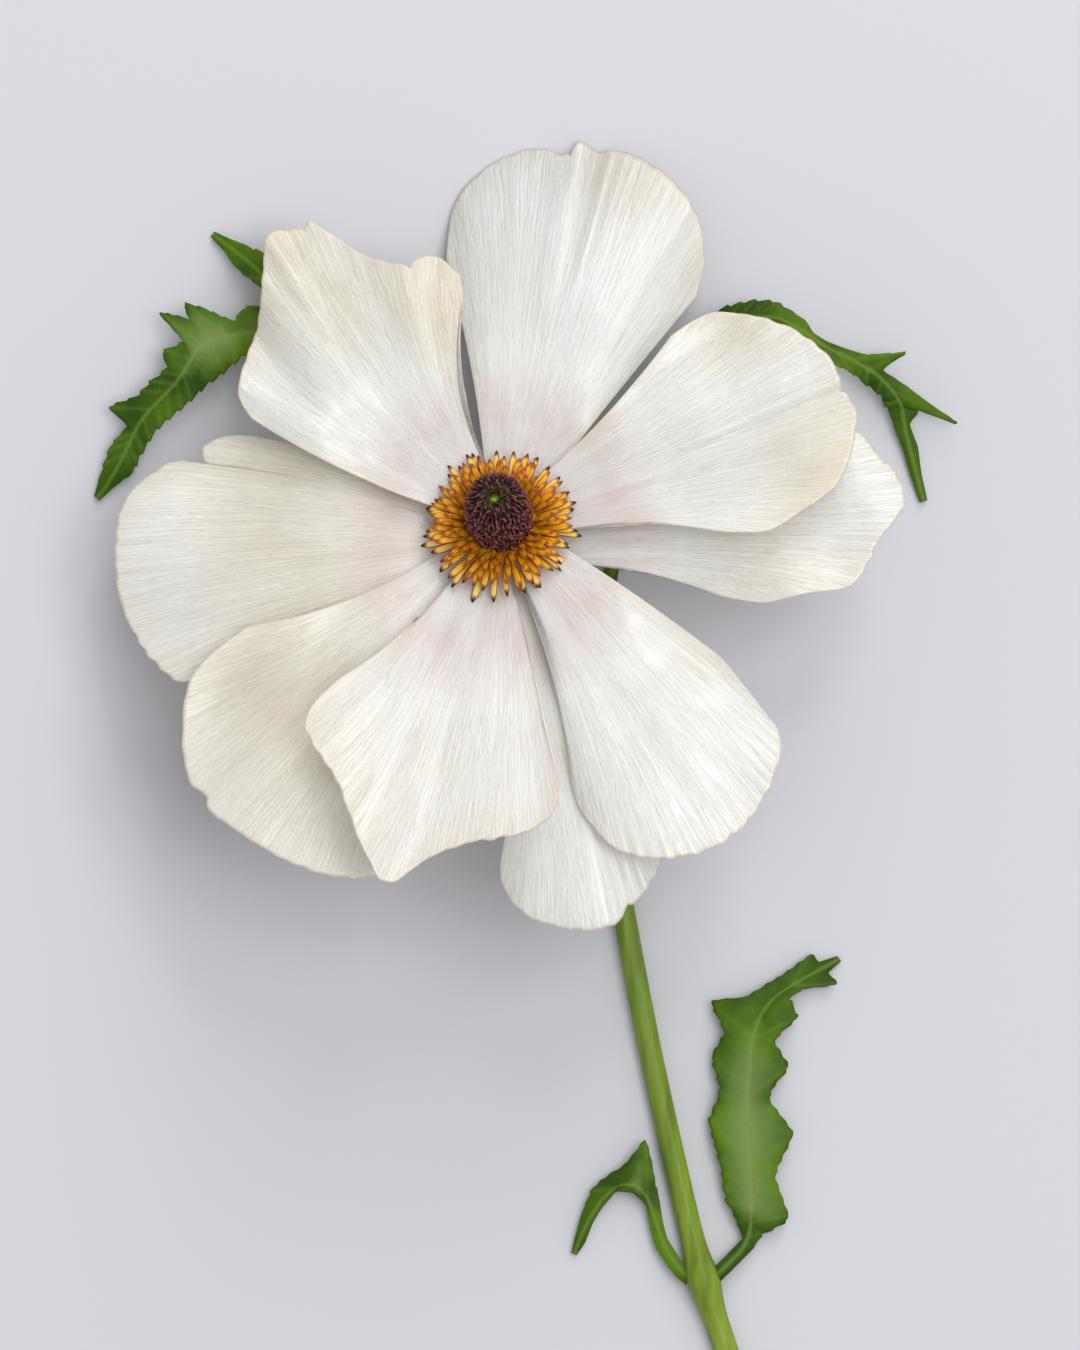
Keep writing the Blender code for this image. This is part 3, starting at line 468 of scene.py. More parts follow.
PETALS = {
    # whorl, bearing of the claw and its width to the left and right, lift of the tip, cup of the sides,
    # twist, free margin from left to right as seen from the middle, a point on each side, folds as (place
    # across, width, start along, height), nicks as (x, y, width, depth), and patches of cream tint and
    # painted shade as (x, y, radius, strength)
    "petal_top": dict(
        whorl=1, bearing=80, claw=(1.9, 1.9), tip=-5, cup=-0.8, twist=0.3,
        margin=[(-5.3, 25.4), (-5.1, 28), (-4.6, 30.6), (-3.3, 32.6), (-1, 34.6), (1.6, 35.7), (3.6, 35.9),
         (5, 35.3), (6.1, 35.6), (6.7, 36.5), (7.5, 36.2), (8.7, 35.6), (10.6, 35.6), (12.3, 35),
         (14.6, 33.6), (16.2, 32), (17.6, 29.8), (18.2, 27.6), (18.3, 25), (17.5, 22)],
        sides=((-3.4, 17.9), (9.2, 11.8)),
        folds=[(0, 0.05, 0.5, -1), (0.09, 0.05, 0.45, 0.8), (-0.16, 0.12, 0.3, 0.5),
         (0.55, 0.2, 0.4, 0.5)], nicks=[(6.3, 35.6, 0.012, 0.5)],
        cream_and_shade=[(12, 34, 6, 0.9), (18, 24, 4, 0.6), (-2.5, 25, 6, 0.3)]),
    "petal_upper_left": dict(
        whorl=2, bearing=120, claw=(2.2, 1.7), tip=1.6, cup=0.2, twist=0.6,
        margin=[(-23, 10.9), (-24.2, 13.2), (-23.5, 16.4), (-22.4, 19.7), (-22, 23.8), (-21.5, 27.8),
         (-18.6, 28.2), (-17.5, 28.7), (-15, 27.3), (-12.3, 25.6), (-9.4, 25), (-8, 25.5), (-6.1, 25.6),
         (-4.1, 23.9), (-3.7, 21.8), (-4, 20)], sides=((-14.5, 6.1), (-4.2, 13.8)),
        folds=[(-0.55, 0.16, 0.62, -2.6), (-0.05, 0.07, 0.6, 0.7), (0.6, 0.2, 0.5, 1),
         (-1, 0.14, 0.5, -0.8)], nicks=[(-8.7, 25, 0.025, 0.7), (-17.6, 28.6, 0.02, -0.3)],
        cream_and_shade=[(-5, 23, 8, 1.2), (-22.8, 21, 3.5, 1.2), (-16, 24, 9, 0.9), (-20, 27, 5, 1.3)]),
    "petal_left": dict(
        whorl=0, bearing=184, claw=(2.2, 2.4), tip=-1, cup=-0.8,
        margin=[(-22.3, -9.8), (-25.5, -11.6), (-28.8, -13.1), (-30.9, -12.1), (-33.2, -9.4), (-35, -5.3),
         (-35.3, 0.2), (-34.3, 3.8), (-31.4, 6.4), (-29.4, 7.1), (-27.6, 6.9), (-27.3, 8.5), (-24.1, 9.4),
         (-18.6, 8.4)], sides=((-12.3, -5.3), (-10.5, 6)),
        folds=[(-0.45, 0.3, 0.5, -1.5), (0.3, 0.2, 0.5, 0.6)], nicks=[(-27.7, 6.5, 0.02, 0.7)],
        cream_and_shade=[(-22, 7, 11, 1.1), (-20, -2, 14, 0.9)]),
    "petal_lower_left": dict(
        whorl=1, bearing=221, claw=(2.2, 2.2), tip=-0.6, cup=0.6,
        margin=[(-5.9, -24.4), (-7.7, -28), (-11.5, -30.5), (-15.5, -30.5), (-19.5, -29.2), (-23.2, -27.1),
         (-26.7, -24.6), (-27.2, -23.3), (-28.6, -21.6), (-29.1, -17.5), (-28.5, -13.1), (-26.4, -10.5),
         (-23.2, -8)], sides=((-5, -13.5), (-14.5, -5.9)),
        folds=[(0.55, 0.3, 0.6, -1.4), (-0.4, 0.25, 0.6, 0.5)], nicks=[(-27, -23.9, 0.02, 0.5)],
        cream_and_shade=[(-20, -16, 13, 1.1), (-14, -27, 8, 0.8)]),
    "petal_lower": dict(
        whorl=2, bearing=254, claw=(1.1, 2.2), tip=4.8, cup=0.8,
        margin=[(3.6, -17.1), (4.5, -20.5), (4.8, -23.5), (3.6, -25.6), (0.9, -26.8), (-3.2, -27.5),
         (-6.8, -28.9), (-9.4, -30.8), (-10.6, -31), (-11.5, -30.1), (-13.2, -26.6), (-15, -21.9),
         (-17, -18.9), (-17.8, -16.8), (-17, -14.9), (-14.5, -12.5)], sides=((2.3, -10.7), (-7.3, -6.9)),
        folds=[(-0.1, 0.25, 0.6, -0.9), (0.25, 0.15, 0.6, 0.8)], nicks=[], cream_and_shade=[(-8, -24, 14, 0.35)]),
    "petal_bottom": dict(
        whorl=0.6, bearing=281, claw=(1.9, 1.9), tip=-5, cup=-1,
        margin=[(13.2, -23.5), (14.3, -28), (14.1, -29.6), (12.7, -32.1), (11.1, -33.6), (9.9, -35),
         (6.8, -35.5), (2.7, -34.5), (0.6, -32.7), (-0.3, -30.3), (0.2, -27.5), (1.4, -23.5)],
        sides=((7.7, -13.5), (2, -14.4)), folds=[(0, 0.2, 0.6, 0.4)], nicks=[(11.3, -33.4, 0.02, 0.3)],
        cream_and_shade=[(4.5, -21, 4, 0.4)]),
    "petal_lower_right": dict(
        whorl=2, bearing=306, claw=(2.9, 1.1), tip=-3.2, cup=0.5,
        margin=[(19.5, -10.7), (23.4, -15.6), (25, -18.2), (24.5, -21.2), (22.7, -24.8), (20.3, -27.3),
         (16.8, -28.7), (12.7, -28.9), (9.7, -27.8), (7.1, -24.8), (6.2, -22.1), (5.9, -17.5)],
        sides=((12.3, -5.5), (4.6, -10.9)), folds=[(0.35, 0.2, 0.5, 0.5), (-0.5, 0.2, 0.5, 0.4)],
        nicks=[(20.6, -27, 0.02, 0.25)], cream_and_shade=[(18, -10, 5, 0.6)]),
    "petal_right": dict(
        whorl=0, bearing=356, claw=(2.2, 2.4), tip=-0.8, cup=-0.4,
        margin=[(26.8, 10.2), (31.6, 9.9), (33.2, 8.6), (34.6, 6.7), (35.3, 6.4), (36.4, 3.1),
         (34.1, -0.1), (32.8, -2.7), (31.2, -4.5), (27.3, -5.1), (23.6, -5.9), (19.5, -5.3)],
        sides=((16.8, 6.5), (10.5, -2.8)), folds=[(-0.15, 0.12, 0.55, 0.6), (0.35, 0.2, 0.6, -0.5)],
        nicks=[], cream_and_shade=[(25, -4, 7, 0.6)]),
    "petal_upper_right": dict(
        whorl=2, bearing=29, claw=(1.9, 2.2), tip=1.4, cup=0.7,
        margin=[(15.2, 18.4), (17.5, 19.9), (20.3, 20.5), (25.5, 19.3), (29.4, 16.5), (30.7, 13.6),
         (31.9, 11.3), (31.4, 7.6), (30, 4.7), (26.8, 2.3), (23.6, 0.5), (19.1, 0.5)],
        sides=((9.4, 11.3), (12.3, 1.3)),
        folds=[(0, 0.05, 0.3, 0.5), (0.1, 0.08, 0.35, -0.7), (0.35, 0.25, 0.5, 0.9)],
        nicks=[(30.8, 13.3, 0.012, 0.5)], cream_and_shade=[(30, 6, 7, 1.1), (21, 19, 5, 1.1)]),
}


def waves(rng, place, slowest, fastest):
    """A sum of five cosines of random frequency and phase, about 1 high."""
    cosines = [np.cos(rng.uniform(slowest, fastest) * place + rng.uniform(0, math.tau)) for _ in range(5)]
    return sum(cosines) / 2


def swept_places(steps):
    """Places from -1 to 1 along a line whose steps from point to point have those lengths."""
    along = np.insert(np.cumsum(steps), 0, 0)
    return 2 * along / along[-1] - 1


def torn_margin(petal, middle, rng):
    """The petal's free margin whole and with its nicks, each point's column, and its bearing's place."""
    line = smooth_line(petal["margin"], MARGIN_SAMPLES)
    outward = line - middle
    outward /= np.linalg.norm(outward, axis=1)[:, None]
    steps = np.diff(line, axis=0)
    sweep = np.abs(outward[:-1, 0] * steps[:, 1] - outward[:-1, 1] * steps[:, 0])
    lengths = np.linalg.norm(steps, axis=1)
    columns = swept_places(sweep + MARGIN_SHARE * lengths)
    inset = FRAY * waves(rng, columns, *FRAY_WAVES)
    for x, y, width, depth in petal["nicks"]:
        nick = columns[np.argmin(np.hypot(*(line - (x, y)).T))]
        inset = inset + depth * np.exp(-(np.abs((columns - nick) / width) ** 1.4))
    return line, line - outward * inset[:, None], columns, swept_places(sweep + MARGIN_SHARE / 2 * lengths)


def left_of(steps):
    """Unit vectors at right angles to vectors in plan, on their left."""
    left = np.stack([-steps[..., 1], steps[..., 0]], axis=-1)
    return left / np.linalg.norm(left, axis=-1, keepdims=True)


def petal_blade(name, petal, number):
    """The mesh of one petal, with its patterns' places stored on its points."""
    rng = np.random.default_rng(100 + number)
    along, across = np.meshgrid(
        np.linspace(0, 1, PETAL_ROWS), np.linspace(-1, 1, PETAL_COLUMNS), indexing="ij")
    axis = np.array(BLOOM_AXIS)
    middle = axis[:2] * petal["whorl"] * WHORL_PITCH
    bearing = math.radians(petal["bearing"])
    outward = np.array([math.cos(bearing), math.sin(bearing)])
    rightward = -left_of(outward)
    whole, torn, columns, swept = torn_margin(petal, middle, rng)
    margin = np.stack([np.interp(across, columns, torn[:, k]) for k in (0, 1)], axis=-1)
    turned_to = np.interp(across, columns, swept)
    root = middle + outward * CLAW_RADIUS
    claw = root + (across * np.where(across < 0, *petal["claw"]))[..., None] * rightward
    bows = []
    for side, half_width, via in zip((-1, 1), petal["claw"], petal["sides"]):
        start, end = root + side * half_width * rightward, whole[0 if side < 0 else -1]
        bows.append((via - (start + end) / 2) @ left_of(end - start))
    bow = bows[0] + (bows[1] - bows[0]) * (across[..., None] + 1) / 2
    control = (claw + margin) / 2 + 2 * bow * left_of(margin - claw)
    s = along[..., None]
    plan = (1 - s) ** 2 * claw + 2 * s * (1 - s) * control + s**2 * margin
    reach = np.linalg.norm(plan - middle, axis=-1)
    height = BLOOM_HEIGHT + petal["whorl"] * WHORL_PITCH * axis[2] - ((plan - middle) @ axis[:2]) / axis[2]
    height += BOWL_RISE * (1 - np.exp(-np.maximum(reach - CLAW_RADIUS, 0) / BOWL_LENGTH))
    bearings = np.linspace(-1, 1, MARGIN_SAMPLES)
    ends = np.interp(bearings, swept, np.linalg.norm(whole - middle, axis=1))
    ends = np.pad(ends, SOFTENED_SAMPLES // 2, mode="edge")
    window = np.hanning(SOFTENED_SAMPLES)
    softened = np.convolve(ends, window / window.sum(), "valid")
    share = (reach - CLAW_RADIUS) / (np.interp(turned_to, bearings, softened) - CLAW_RADIUS)
    shape = petal["tip"] * share**2 + (petal["cup"] * turned_to + petal.get("twist", 0)) * turned_to * share
    for spot, width, start, lift in petal["folds"]:
        shape += lift * np.exp(-(((turned_to - spot) / width) ** 2)) * ease(share, start, 1.0)
    height += shape * ease(reach, SHAPE_STARTS, SHAPE_FULL)
    for turn in rng.uniform(0, math.pi, 4):
        wave = (plan @ (math.cos(turn), math.sin(turn))) * math.tau / rng.uniform(*SWELL_LENGTHS)
        height += SWELL_HEIGHT / 2 * np.cos(wave + rng.uniform(0, math.tau)) * ease(reach, 6, 16)
    height += RIPPLE_HEIGHT * waves(rng, turned_to, *RIPPLE_WAVES) * ease(along, 0.15, 0.8)
    height += FRILL_HEIGHT * waves(rng, turned_to, *FRILL_WAVES) * ease(along, 0.8, 1.0)
    half_blade = np.interp(along, (0, 1), PETAL_THICKNESS) / 2
    height = half_blade + PRESS_SOFTNESS * np.logaddexp(0, (height - half_blade) / PRESS_SOFTNESS)
    points = np.dstack([plan, height])
    length, span = lengths_along(points), lengths_along(points, 1)
    from_sides = np.minimum(span, span[:, -1:] - span) + 4 * (1 - ease(length, 5, 9))
    # Cream patches: partly the petal's own cream tint, partly painted shade where the petal lies in shade.
    cream_and_shade = np.zeros_like(reach)
    for x, y, radius, strength in petal["cream_and_shade"]:
        distance = np.hypot(plan[..., 0] - x, plan[..., 1] - y)
        cream_and_shade = np.maximum(cream_and_shade, strength * np.exp(-((distance / radius) ** 2)))
    veins = np.dstack([3 * number + (turned_to + across + 2) / 4, share, np.zeros_like(along)])
    rim = np.minimum(length[-1] - length, from_sides)
    attributes = {"vein_place": veins, "reach": reach, "rim": rim, "cream_and_shade": cream_and_shade}
    return blade_mesh(name, points + PLANT_SHIFT, half_blade * 2, attributes)


def fine_lines(place, number, width):
    """Thin wandering lines along the veins, that many across a petal: 1 on a line and 0 beside it."""
    sideways = node(place.id_data, "ShaderNodeSeparateXYZ", place)
    wander = times(noise(place, (number / 4, 1.6, 1)), 5.0)
    counted = plus(times(sideways, float(number)), wander)
    return ramp(maths("PINGPONG", counted, 0.5), (0.0, 1), (width, 0))


petal_finish, tree, shader = new_finish(
    "petal white", Subsurface_Weight=0.7, Subsurface_Scale=0.0016, Subsurface_Radius=(1.0, 0.92, 0.78),
    Coat_Weight=0.5, Coat_Roughness=0.2)
veins = stored(tree, "vein_place", "Vector")
rim = stored(tree, "rim")
reach = maths("DIVIDE", stored(tree, "reach"), 36.0)
outer_lines = times(fine_lines(veins, *FINE_LINES), ramp(reach, (0.3, 0.1), (0.55, 1)))
lines = maths("MAXIMUM", fine_lines(veins, *COARSE_LINES), outer_lines)
streaks = noise(veins, (75, 3.5, 1), 4.0, 0.65)
scales = noise(veins, (110, 30, 1), 2.0, 0.65)
dimples = noise(veins, (17, 11, 1), 2.0)
blotches = noise(veins, (5, 3, 1))
patchy = ramp(blotches, (0.3, 0.35), (0.62, 1))
white = mixed(times(streaks, STREAK_TINT), PETAL_WHITE, PETAL_VEIN)
# The cream patches, partly the petal's own tint and partly painted shade, broken up by blotches.
white = mixed(times(stored(tree, "cream_and_shade"), plus(blotches, 0.3)), white, PETAL_CREAM_AND_SHADE)
blush = ramp(plus(reach, times(streaks, 0.16)),
             (0.16, 0.25), (0.26, 0.38), (0.38, 0.68), (0.46, 0.48), (0.53, 0))
white = mixed(times(blush, patchy), white, PETAL_BLUSH)
white = mixed(times(times(lines, patchy), LINE_TINT), white, PETAL_VEIN)
# A cream band along the margin, the petal's own colour.
white = mixed(ramp(maths("DIVIDE", rim, 5.0), (0.0, 0.5), (0.4, 0.22), (1.0, 0)), white, PETAL_CREAM_AND_SHADE)
feed(mixed(ramp(rim, (0.0, 0.7), (0.22, 0)), white, PETAL_RIM), shader.inputs["Base Color"])
feed(ramp(streaks, (0.35, 0.2), (0.65, 0.4)), shader.inputs["Roughness"])
relief = maths("SUBTRACT", times(streaks, 0.4), times(lines, 0.3))
relief = plus(relief, times(scales, 1.1))
bump(shader, plus(relief, dimples), 0.0001, strength=1.0)

for number, (name, petal) in enumerate(PETALS.items()):
    finished(name + "_blade", petal_blade(name, petal, number), [name], petal_finish)

# Stamens
# A dense ring of stamens round the head, in a spiral from the flat outer ones to the steep inner ones. Each
# is a thin filament with a long slim anther of two lobes, amber with brown edges and a nearly black tip.
STAMEN_RING = [(2.3, 4.6), (2.9, 4.5), (3.5, 3.7), (3.5, 3.0), (2.3, 3.0)]
STAMEN_COUNT, SPIRAL_STEP = 180, math.radians(137.508)
STAMEN_ENDS = {"root radius": (3.3, 2.75), "root height": (3.25, 4.0), "length": (4.15, 2.9),
               "rise": (math.radians(1.0), math.radians(62.0))}
STAMEN_ARCH = 0.35
FILAMENT_RADIUS = 0.11
ANTHER_STARTS, ANTHER_SIDES = 0.3, 10
ANTHER_HALF_WIDTH, ANTHER_HALF_THICKNESS = 0.34, 0.15
ANTHER_WIDTHS = (0.45, 0.8, 0.95, 1.0, 1.0, 0.96, 0.86, 0.62, 0.2)
GROOVE_DEPTH, GROOVE_WIDTH = 0.35, 0.3
ANTHER_GOLD, ANTHER_AMBER, ANTHER_DEEP = (0.90, 0.62, 0.17), (0.84, 0.41, 0.012), (0.55, 0.19, 0.003)
ANTHER_BROWN, ANTHER_RUST, ANTHER_TIP = (0.17, 0.042, 0.005), (0.28, 0.075, 0.006), (0.022, 0.006, 0.010)
ANTHER_SPECKLE = (0.46, 0.17, 0.012)


def stamen_shape():
    """One stamen, 1 long along +Z, with its broad side facing +Y and as wide as a real one in mm."""
    shares = [0.0, ANTHER_STARTS - 0.03, *np.linspace(ANTHER_STARTS, 1, len(ANTHER_WIDTHS))]
    angles = np.arange(ANTHER_SIDES) * math.tau / ANTHER_SIDES
    rings = []
    for share, swell in zip(shares, (0, 0, *ANTHER_WIDTHS)):
        wide = ANTHER_HALF_WIDTH * swell or FILAMENT_RADIUS
        thick = ANTHER_HALF_THICKNESS * swell or FILAMENT_RADIUS
        if share > ANTHER_STARTS:
            thick = thick * (1 - GROOVE_DEPTH * np.exp(-((np.cos(angles) / GROOVE_WIDTH) ** 2)))
        y = thick * np.sin(angles) + STAMEN_ARCH * math.sin(math.pi * share)
        rings.append(np.column_stack([wide * np.cos(angles), y, np.full(ANTHER_SIDES, share)]))
    along = [(share - ANTHER_STARTS) / (1 - ANTHER_STARTS) for share in shares]
    return mesh_of("stamen", tube(rings, edge=[np.abs(np.cos(angles))] * len(rings), along=along)[0])


def from_to(given, share, name):
    """The value that lies that share of the way from a tree's outer input of that name to its inner one."""
    return node(share.id_data, "ShaderNodeMapRange", share, To_Min=given["Outer " + name],
                To_Max=given["Inner " + name])


def aimed(heading, axis, towards):
    """The turn that points +Z along a heading, with another axis turned towards a second vector."""
    kind = "FunctionNodeAlignRotationToVector"
    pointed = node(heading.id_data, kind, axis="Z", Vector=heading)
    return node(heading.id_data, kind, axis=axis, pivot_axis="Z", Rotation=pointed, Vector=towards)


def spoke(radial, out, up):
    """The point or heading that far out along a radial and that far up."""
    upward = node(radial.id_data, "ShaderNodeCombineXYZ", Z=up)
    return vectors("ADD", vectors("SCALE", radial, out), upward)


stamen_finish, tree, shader = new_finish(
    "amber anther", Roughness=0.45, Subsurface_Weight=0.35, Subsurface_Scale=0.0006,
    Specular_IOR_Level=0.25)
along, inward = stored(tree, "along"), stored(tree, "inward")
speckle = grain(tree, 1600, detail=2.0)
amber = ramp(inward, (0.0, *ANTHER_GOLD), (0.35, *ANTHER_AMBER), (1.0, *ANTHER_DEEP))
amber = mixed(times(speckle, 0.15), amber, ANTHER_SPECKLE)
browned = plus(stored(tree, "edge"), times(speckle, 0.14))
amber = mixed(ramp(browned, (0.80, 0), (0.93, 0.95)), amber, ANTHER_BROWN)
tipped = plus(along, times(speckle, 0.1))
tip_colour = ramp(inward, (0.2, *ANTHER_TIP), (0.35, *ANTHER_RUST))
amber = mixed(ramp(tipped, (0.82, 0), (0.92, 0.85), (0.98, 1)), amber, tip_colour)
amber = mixed(ramp(along, (0.0, 1), (0.06, 0)), amber, ANTHER_AMBER)
feed(amber, shader.inputs["Base Color"])
bump(shader, speckle, 0.00006)

one_stamen = bpy.data.objects.new("one_stamen", stamen_shape())
stamen_inputs = {"Stamen": one_stamen, "Stamen material": stamen_finish, "Count": STAMEN_COUNT,
                 "Spiral step": SPIRAL_STEP}
for label, (outer, inner) in STAMEN_ENDS.items():
    stamen_inputs |= {"Outer " + label: outer, "Inner " + label: inner}
tree, given, end = geometry_group("stamen spiral", stamen_inputs)
index = node(tree, "GeometryNodeInputIndex")
share = maths("DIVIDE", index, given["Count"])
turn = plus(times(index, given["Spiral step"]), chance(tree, -0.09, 0.09, 11))
rise = plus(from_to(given, share, "rise"), chance(tree, -0.12, 0.12, 12))
length = times(from_to(given, share, "length"), chance(tree, 0.88, 1.07, 13))
radial = node(tree, "ShaderNodeCombineXYZ", maths("COSINE", turn), maths("SINE", turn))
root = spoke(radial, from_to(given, share, "root radius"), from_to(given, share, "root height"))
points = node(tree, "GeometryNodePoints", given["Count"], root)
faced = aimed(spoke(radial, maths("COSINE", rise), maths("SINE", rise)), "Y", spoke(radial, -1.0, 1.2))
roll = node(tree, "FunctionNodeAxisAngleToRotation", (0.0, 0.0, 1.0), chance(tree, -0.45, 0.45, 15))
rolled = node(tree, "FunctionNodeRotateRotation", faced, roll, rotation_space="LOCAL")
own = node(tree, "GeometryNodeObjectInfo", given["Stamen"]).outputs["Geometry"]
size = node(tree, "ShaderNodeCombineXYZ", chance(tree, 0.8, 1.1, 14), 1.0, length)
placed_on(points, own, rolled, size, given["Stamen material"], end, base=given["Geometry"], note=share)
stamen_mesh = grown("stamen_ring", turned("stamen_base", STAMEN_RING, 48), tree, stamen_inputs)
bpy.data.objects.remove(one_stamen)
stamen_mesh.transform(onto_bloom)
finished("stamen_spiral", stamen_mesh, ["stamens"])

# Carpel head
# The blunt head of carpels in the middle: a core closely set with hundreds of small hooked beaks, dark
# burgundy with paler mauve tips, that bend away from a small green hollow at the crown. The near-black
# at the beaks' bases and on the core is painted shade, and the mauve tips carry a painted highlight.
HEAD_RADIUS, HEAD_BASE, HEAD_TOP = 2.5, 3.7, 11.9
HEAD_RINGS, HEAD_SIDES = 22, 40
CROWN_RADIUS, CROWN_DEPTH = 1.3, 0.8
BEAK_SPACING, MOST_BEAKS = 0.27, 90.0
BEAK_LENGTH, BEAK_BEND, BEAK_SIDES = 0.85, 1.3, 5
BEAK_RADII = (0.08, 0.085, 0.085, 0.095, 0.08, 0.025)
BEAK_STRAY = 0.6
# The darkest colour is painted shade at the beaks' bases and on the core between them; the mauve at the
# tips is partly their own paler colour and partly a painted highlight.
BURGUNDY_AND_SHADE, WINE, MAUVE_AND_HIGHLIGHT = (0.008, 0.002, 0.002), (0.05, 0.009, 0.010), (0.36, 0.105, 0.10)
CARPEL_SPECKLE = (0.05, 0.011, 0.012)
CROWN_GREEN, CROWN_OLIVE = (0.20, 0.36, 0.012), (0.045, 0.036, 0.014)


def head_profile():
    """The core's outline from its hollow crown down to its foot."""
    outline = [(0.0, HEAD_TOP - CROWN_DEPTH)]
    for k in range(1, 6):
        outline.append((CROWN_RADIUS * k / 6, HEAD_TOP - CROWN_DEPTH * (1 + math.cos(math.pi * k / 6)) / 2))
    for share in np.linspace(1, 0, HEAD_RINGS):
        rounded = math.sqrt(1 - share**4.5)
        radius = CROWN_RADIUS + (HEAD_RADIUS * (1 - 0.04 * (1 - share) ** 4) - CROWN_RADIUS) * rounded
        outline.append((radius, HEAD_BASE + (HEAD_TOP - HEAD_BASE) * share))
    return [*outline, (0.0, HEAD_BASE)]


def beak_shape():
    """A small hook that rises along +Z and bends over towards +X."""
    angles = np.arange(BEAK_SIDES) * math.tau / BEAK_SIDES
    arc = BEAK_LENGTH / BEAK_BEND
    rings = []
    for turn, radius in zip(np.linspace(0, BEAK_BEND, len(BEAK_RADII)), BEAK_RADII):
        inner = arc - radius * np.cos(angles)
        x, z = arc - inner * math.cos(turn), inner * math.sin(turn)
        rings.append(np.column_stack([x, radius * np.sin(angles), z]))
    return mesh_of("beak", tube(rings, tip=np.linspace(0, 1, len(rings)))[0])


carpel_finish, tree, shader = new_finish(
    "burgundy carpel", Roughness=0.5, Subsurface_Weight=0.1, Subsurface_Scale=0.0003,
    Specular_IOR_Level=0.25)
crown = stored(tree, "crown")
speckle = grain(tree, 1500, detail=2.0)
# From painted shade at the beaks' bases and on the core, through wine, to paler mauve tips that carry a
# painted highlight.
flesh = ramp(stored(tree, "tip"), (0.0, *BURGUNDY_AND_SHADE), (0.5, *WINE), (0.95, *MAUVE_AND_HIGHLIGHT))
flesh = mixed(times(speckle, 0.3), flesh, CARPEL_SPECKLE)
flesh = mixed(ramp(crown, (0.1, 0), (0.5, 0.75)), flesh, CROWN_OLIVE)
feed(mixed(ramp(crown, (0.72, 0), (0.9, 1)), flesh, CROWN_GREEN), shader.inputs["Base Color"])
bump(shader, speckle, 0.00005)

one_beak = bpy.data.objects.new("one_beak", beak_shape())
beak_inputs = {"Beak": one_beak, "Head material": carpel_finish, "Spacing": BEAK_SPACING, "Seed": 4}
tree, given, end = geometry_group("carpel beaks", beak_inputs)
scatter = node(tree, "GeometryNodeDistributePointsOnFaces", given["Geometry"], distribute_method="POISSON",
               Distance_Min=given["Spacing"], Density_Max=MOST_BEAKS, Seed=given["Seed"])
away = vectors("MULTIPLY", node(tree, "GeometryNodeInputPosition"), (1.0, 1.0, 0.0))
away = vectors("ADD", vectors("NORMALIZE", away), (0.0, 0.0, -0.4))
away = vectors("ADD", away, chance(tree, (-BEAK_STRAY,) * 3, (BEAK_STRAY,) * 3, 0))
heading = vectors("ADD", vectors("MULTIPLY", scatter.outputs["Normal"], (1.6,) * 3), away)
own = node(tree, "GeometryNodeObjectInfo", given["Beak"]).outputs["Geometry"]
placed_on(scatter, own, aimed(heading, "X", away), chance(tree, 0.75, 1.15, 21), given["Head material"],
          end, base=given["Geometry"])
head_mesh = grown("carpel_beaks", turned("head_core", head_profile(), HEAD_SIDES), tree, beak_inputs)
bpy.data.objects.remove(one_beak)
x, y, z = np.array([v.co for v in head_mesh.vertices]).T
from_crown = np.hypot(x / 1.3, y) + 2 * np.maximum(HEAD_TOP - 1.2 - z, 0)
greenness = (1 - np.clip(from_crown / 1.5, 0, 1)).astype(np.float32)
head_mesh.attributes.new("crown", "FLOAT", "POINT").data.foreach_set("value", greenness)
head_mesh.transform(onto_bloom)
finished("carpel_beaks", head_mesh, ["carpel_head"])

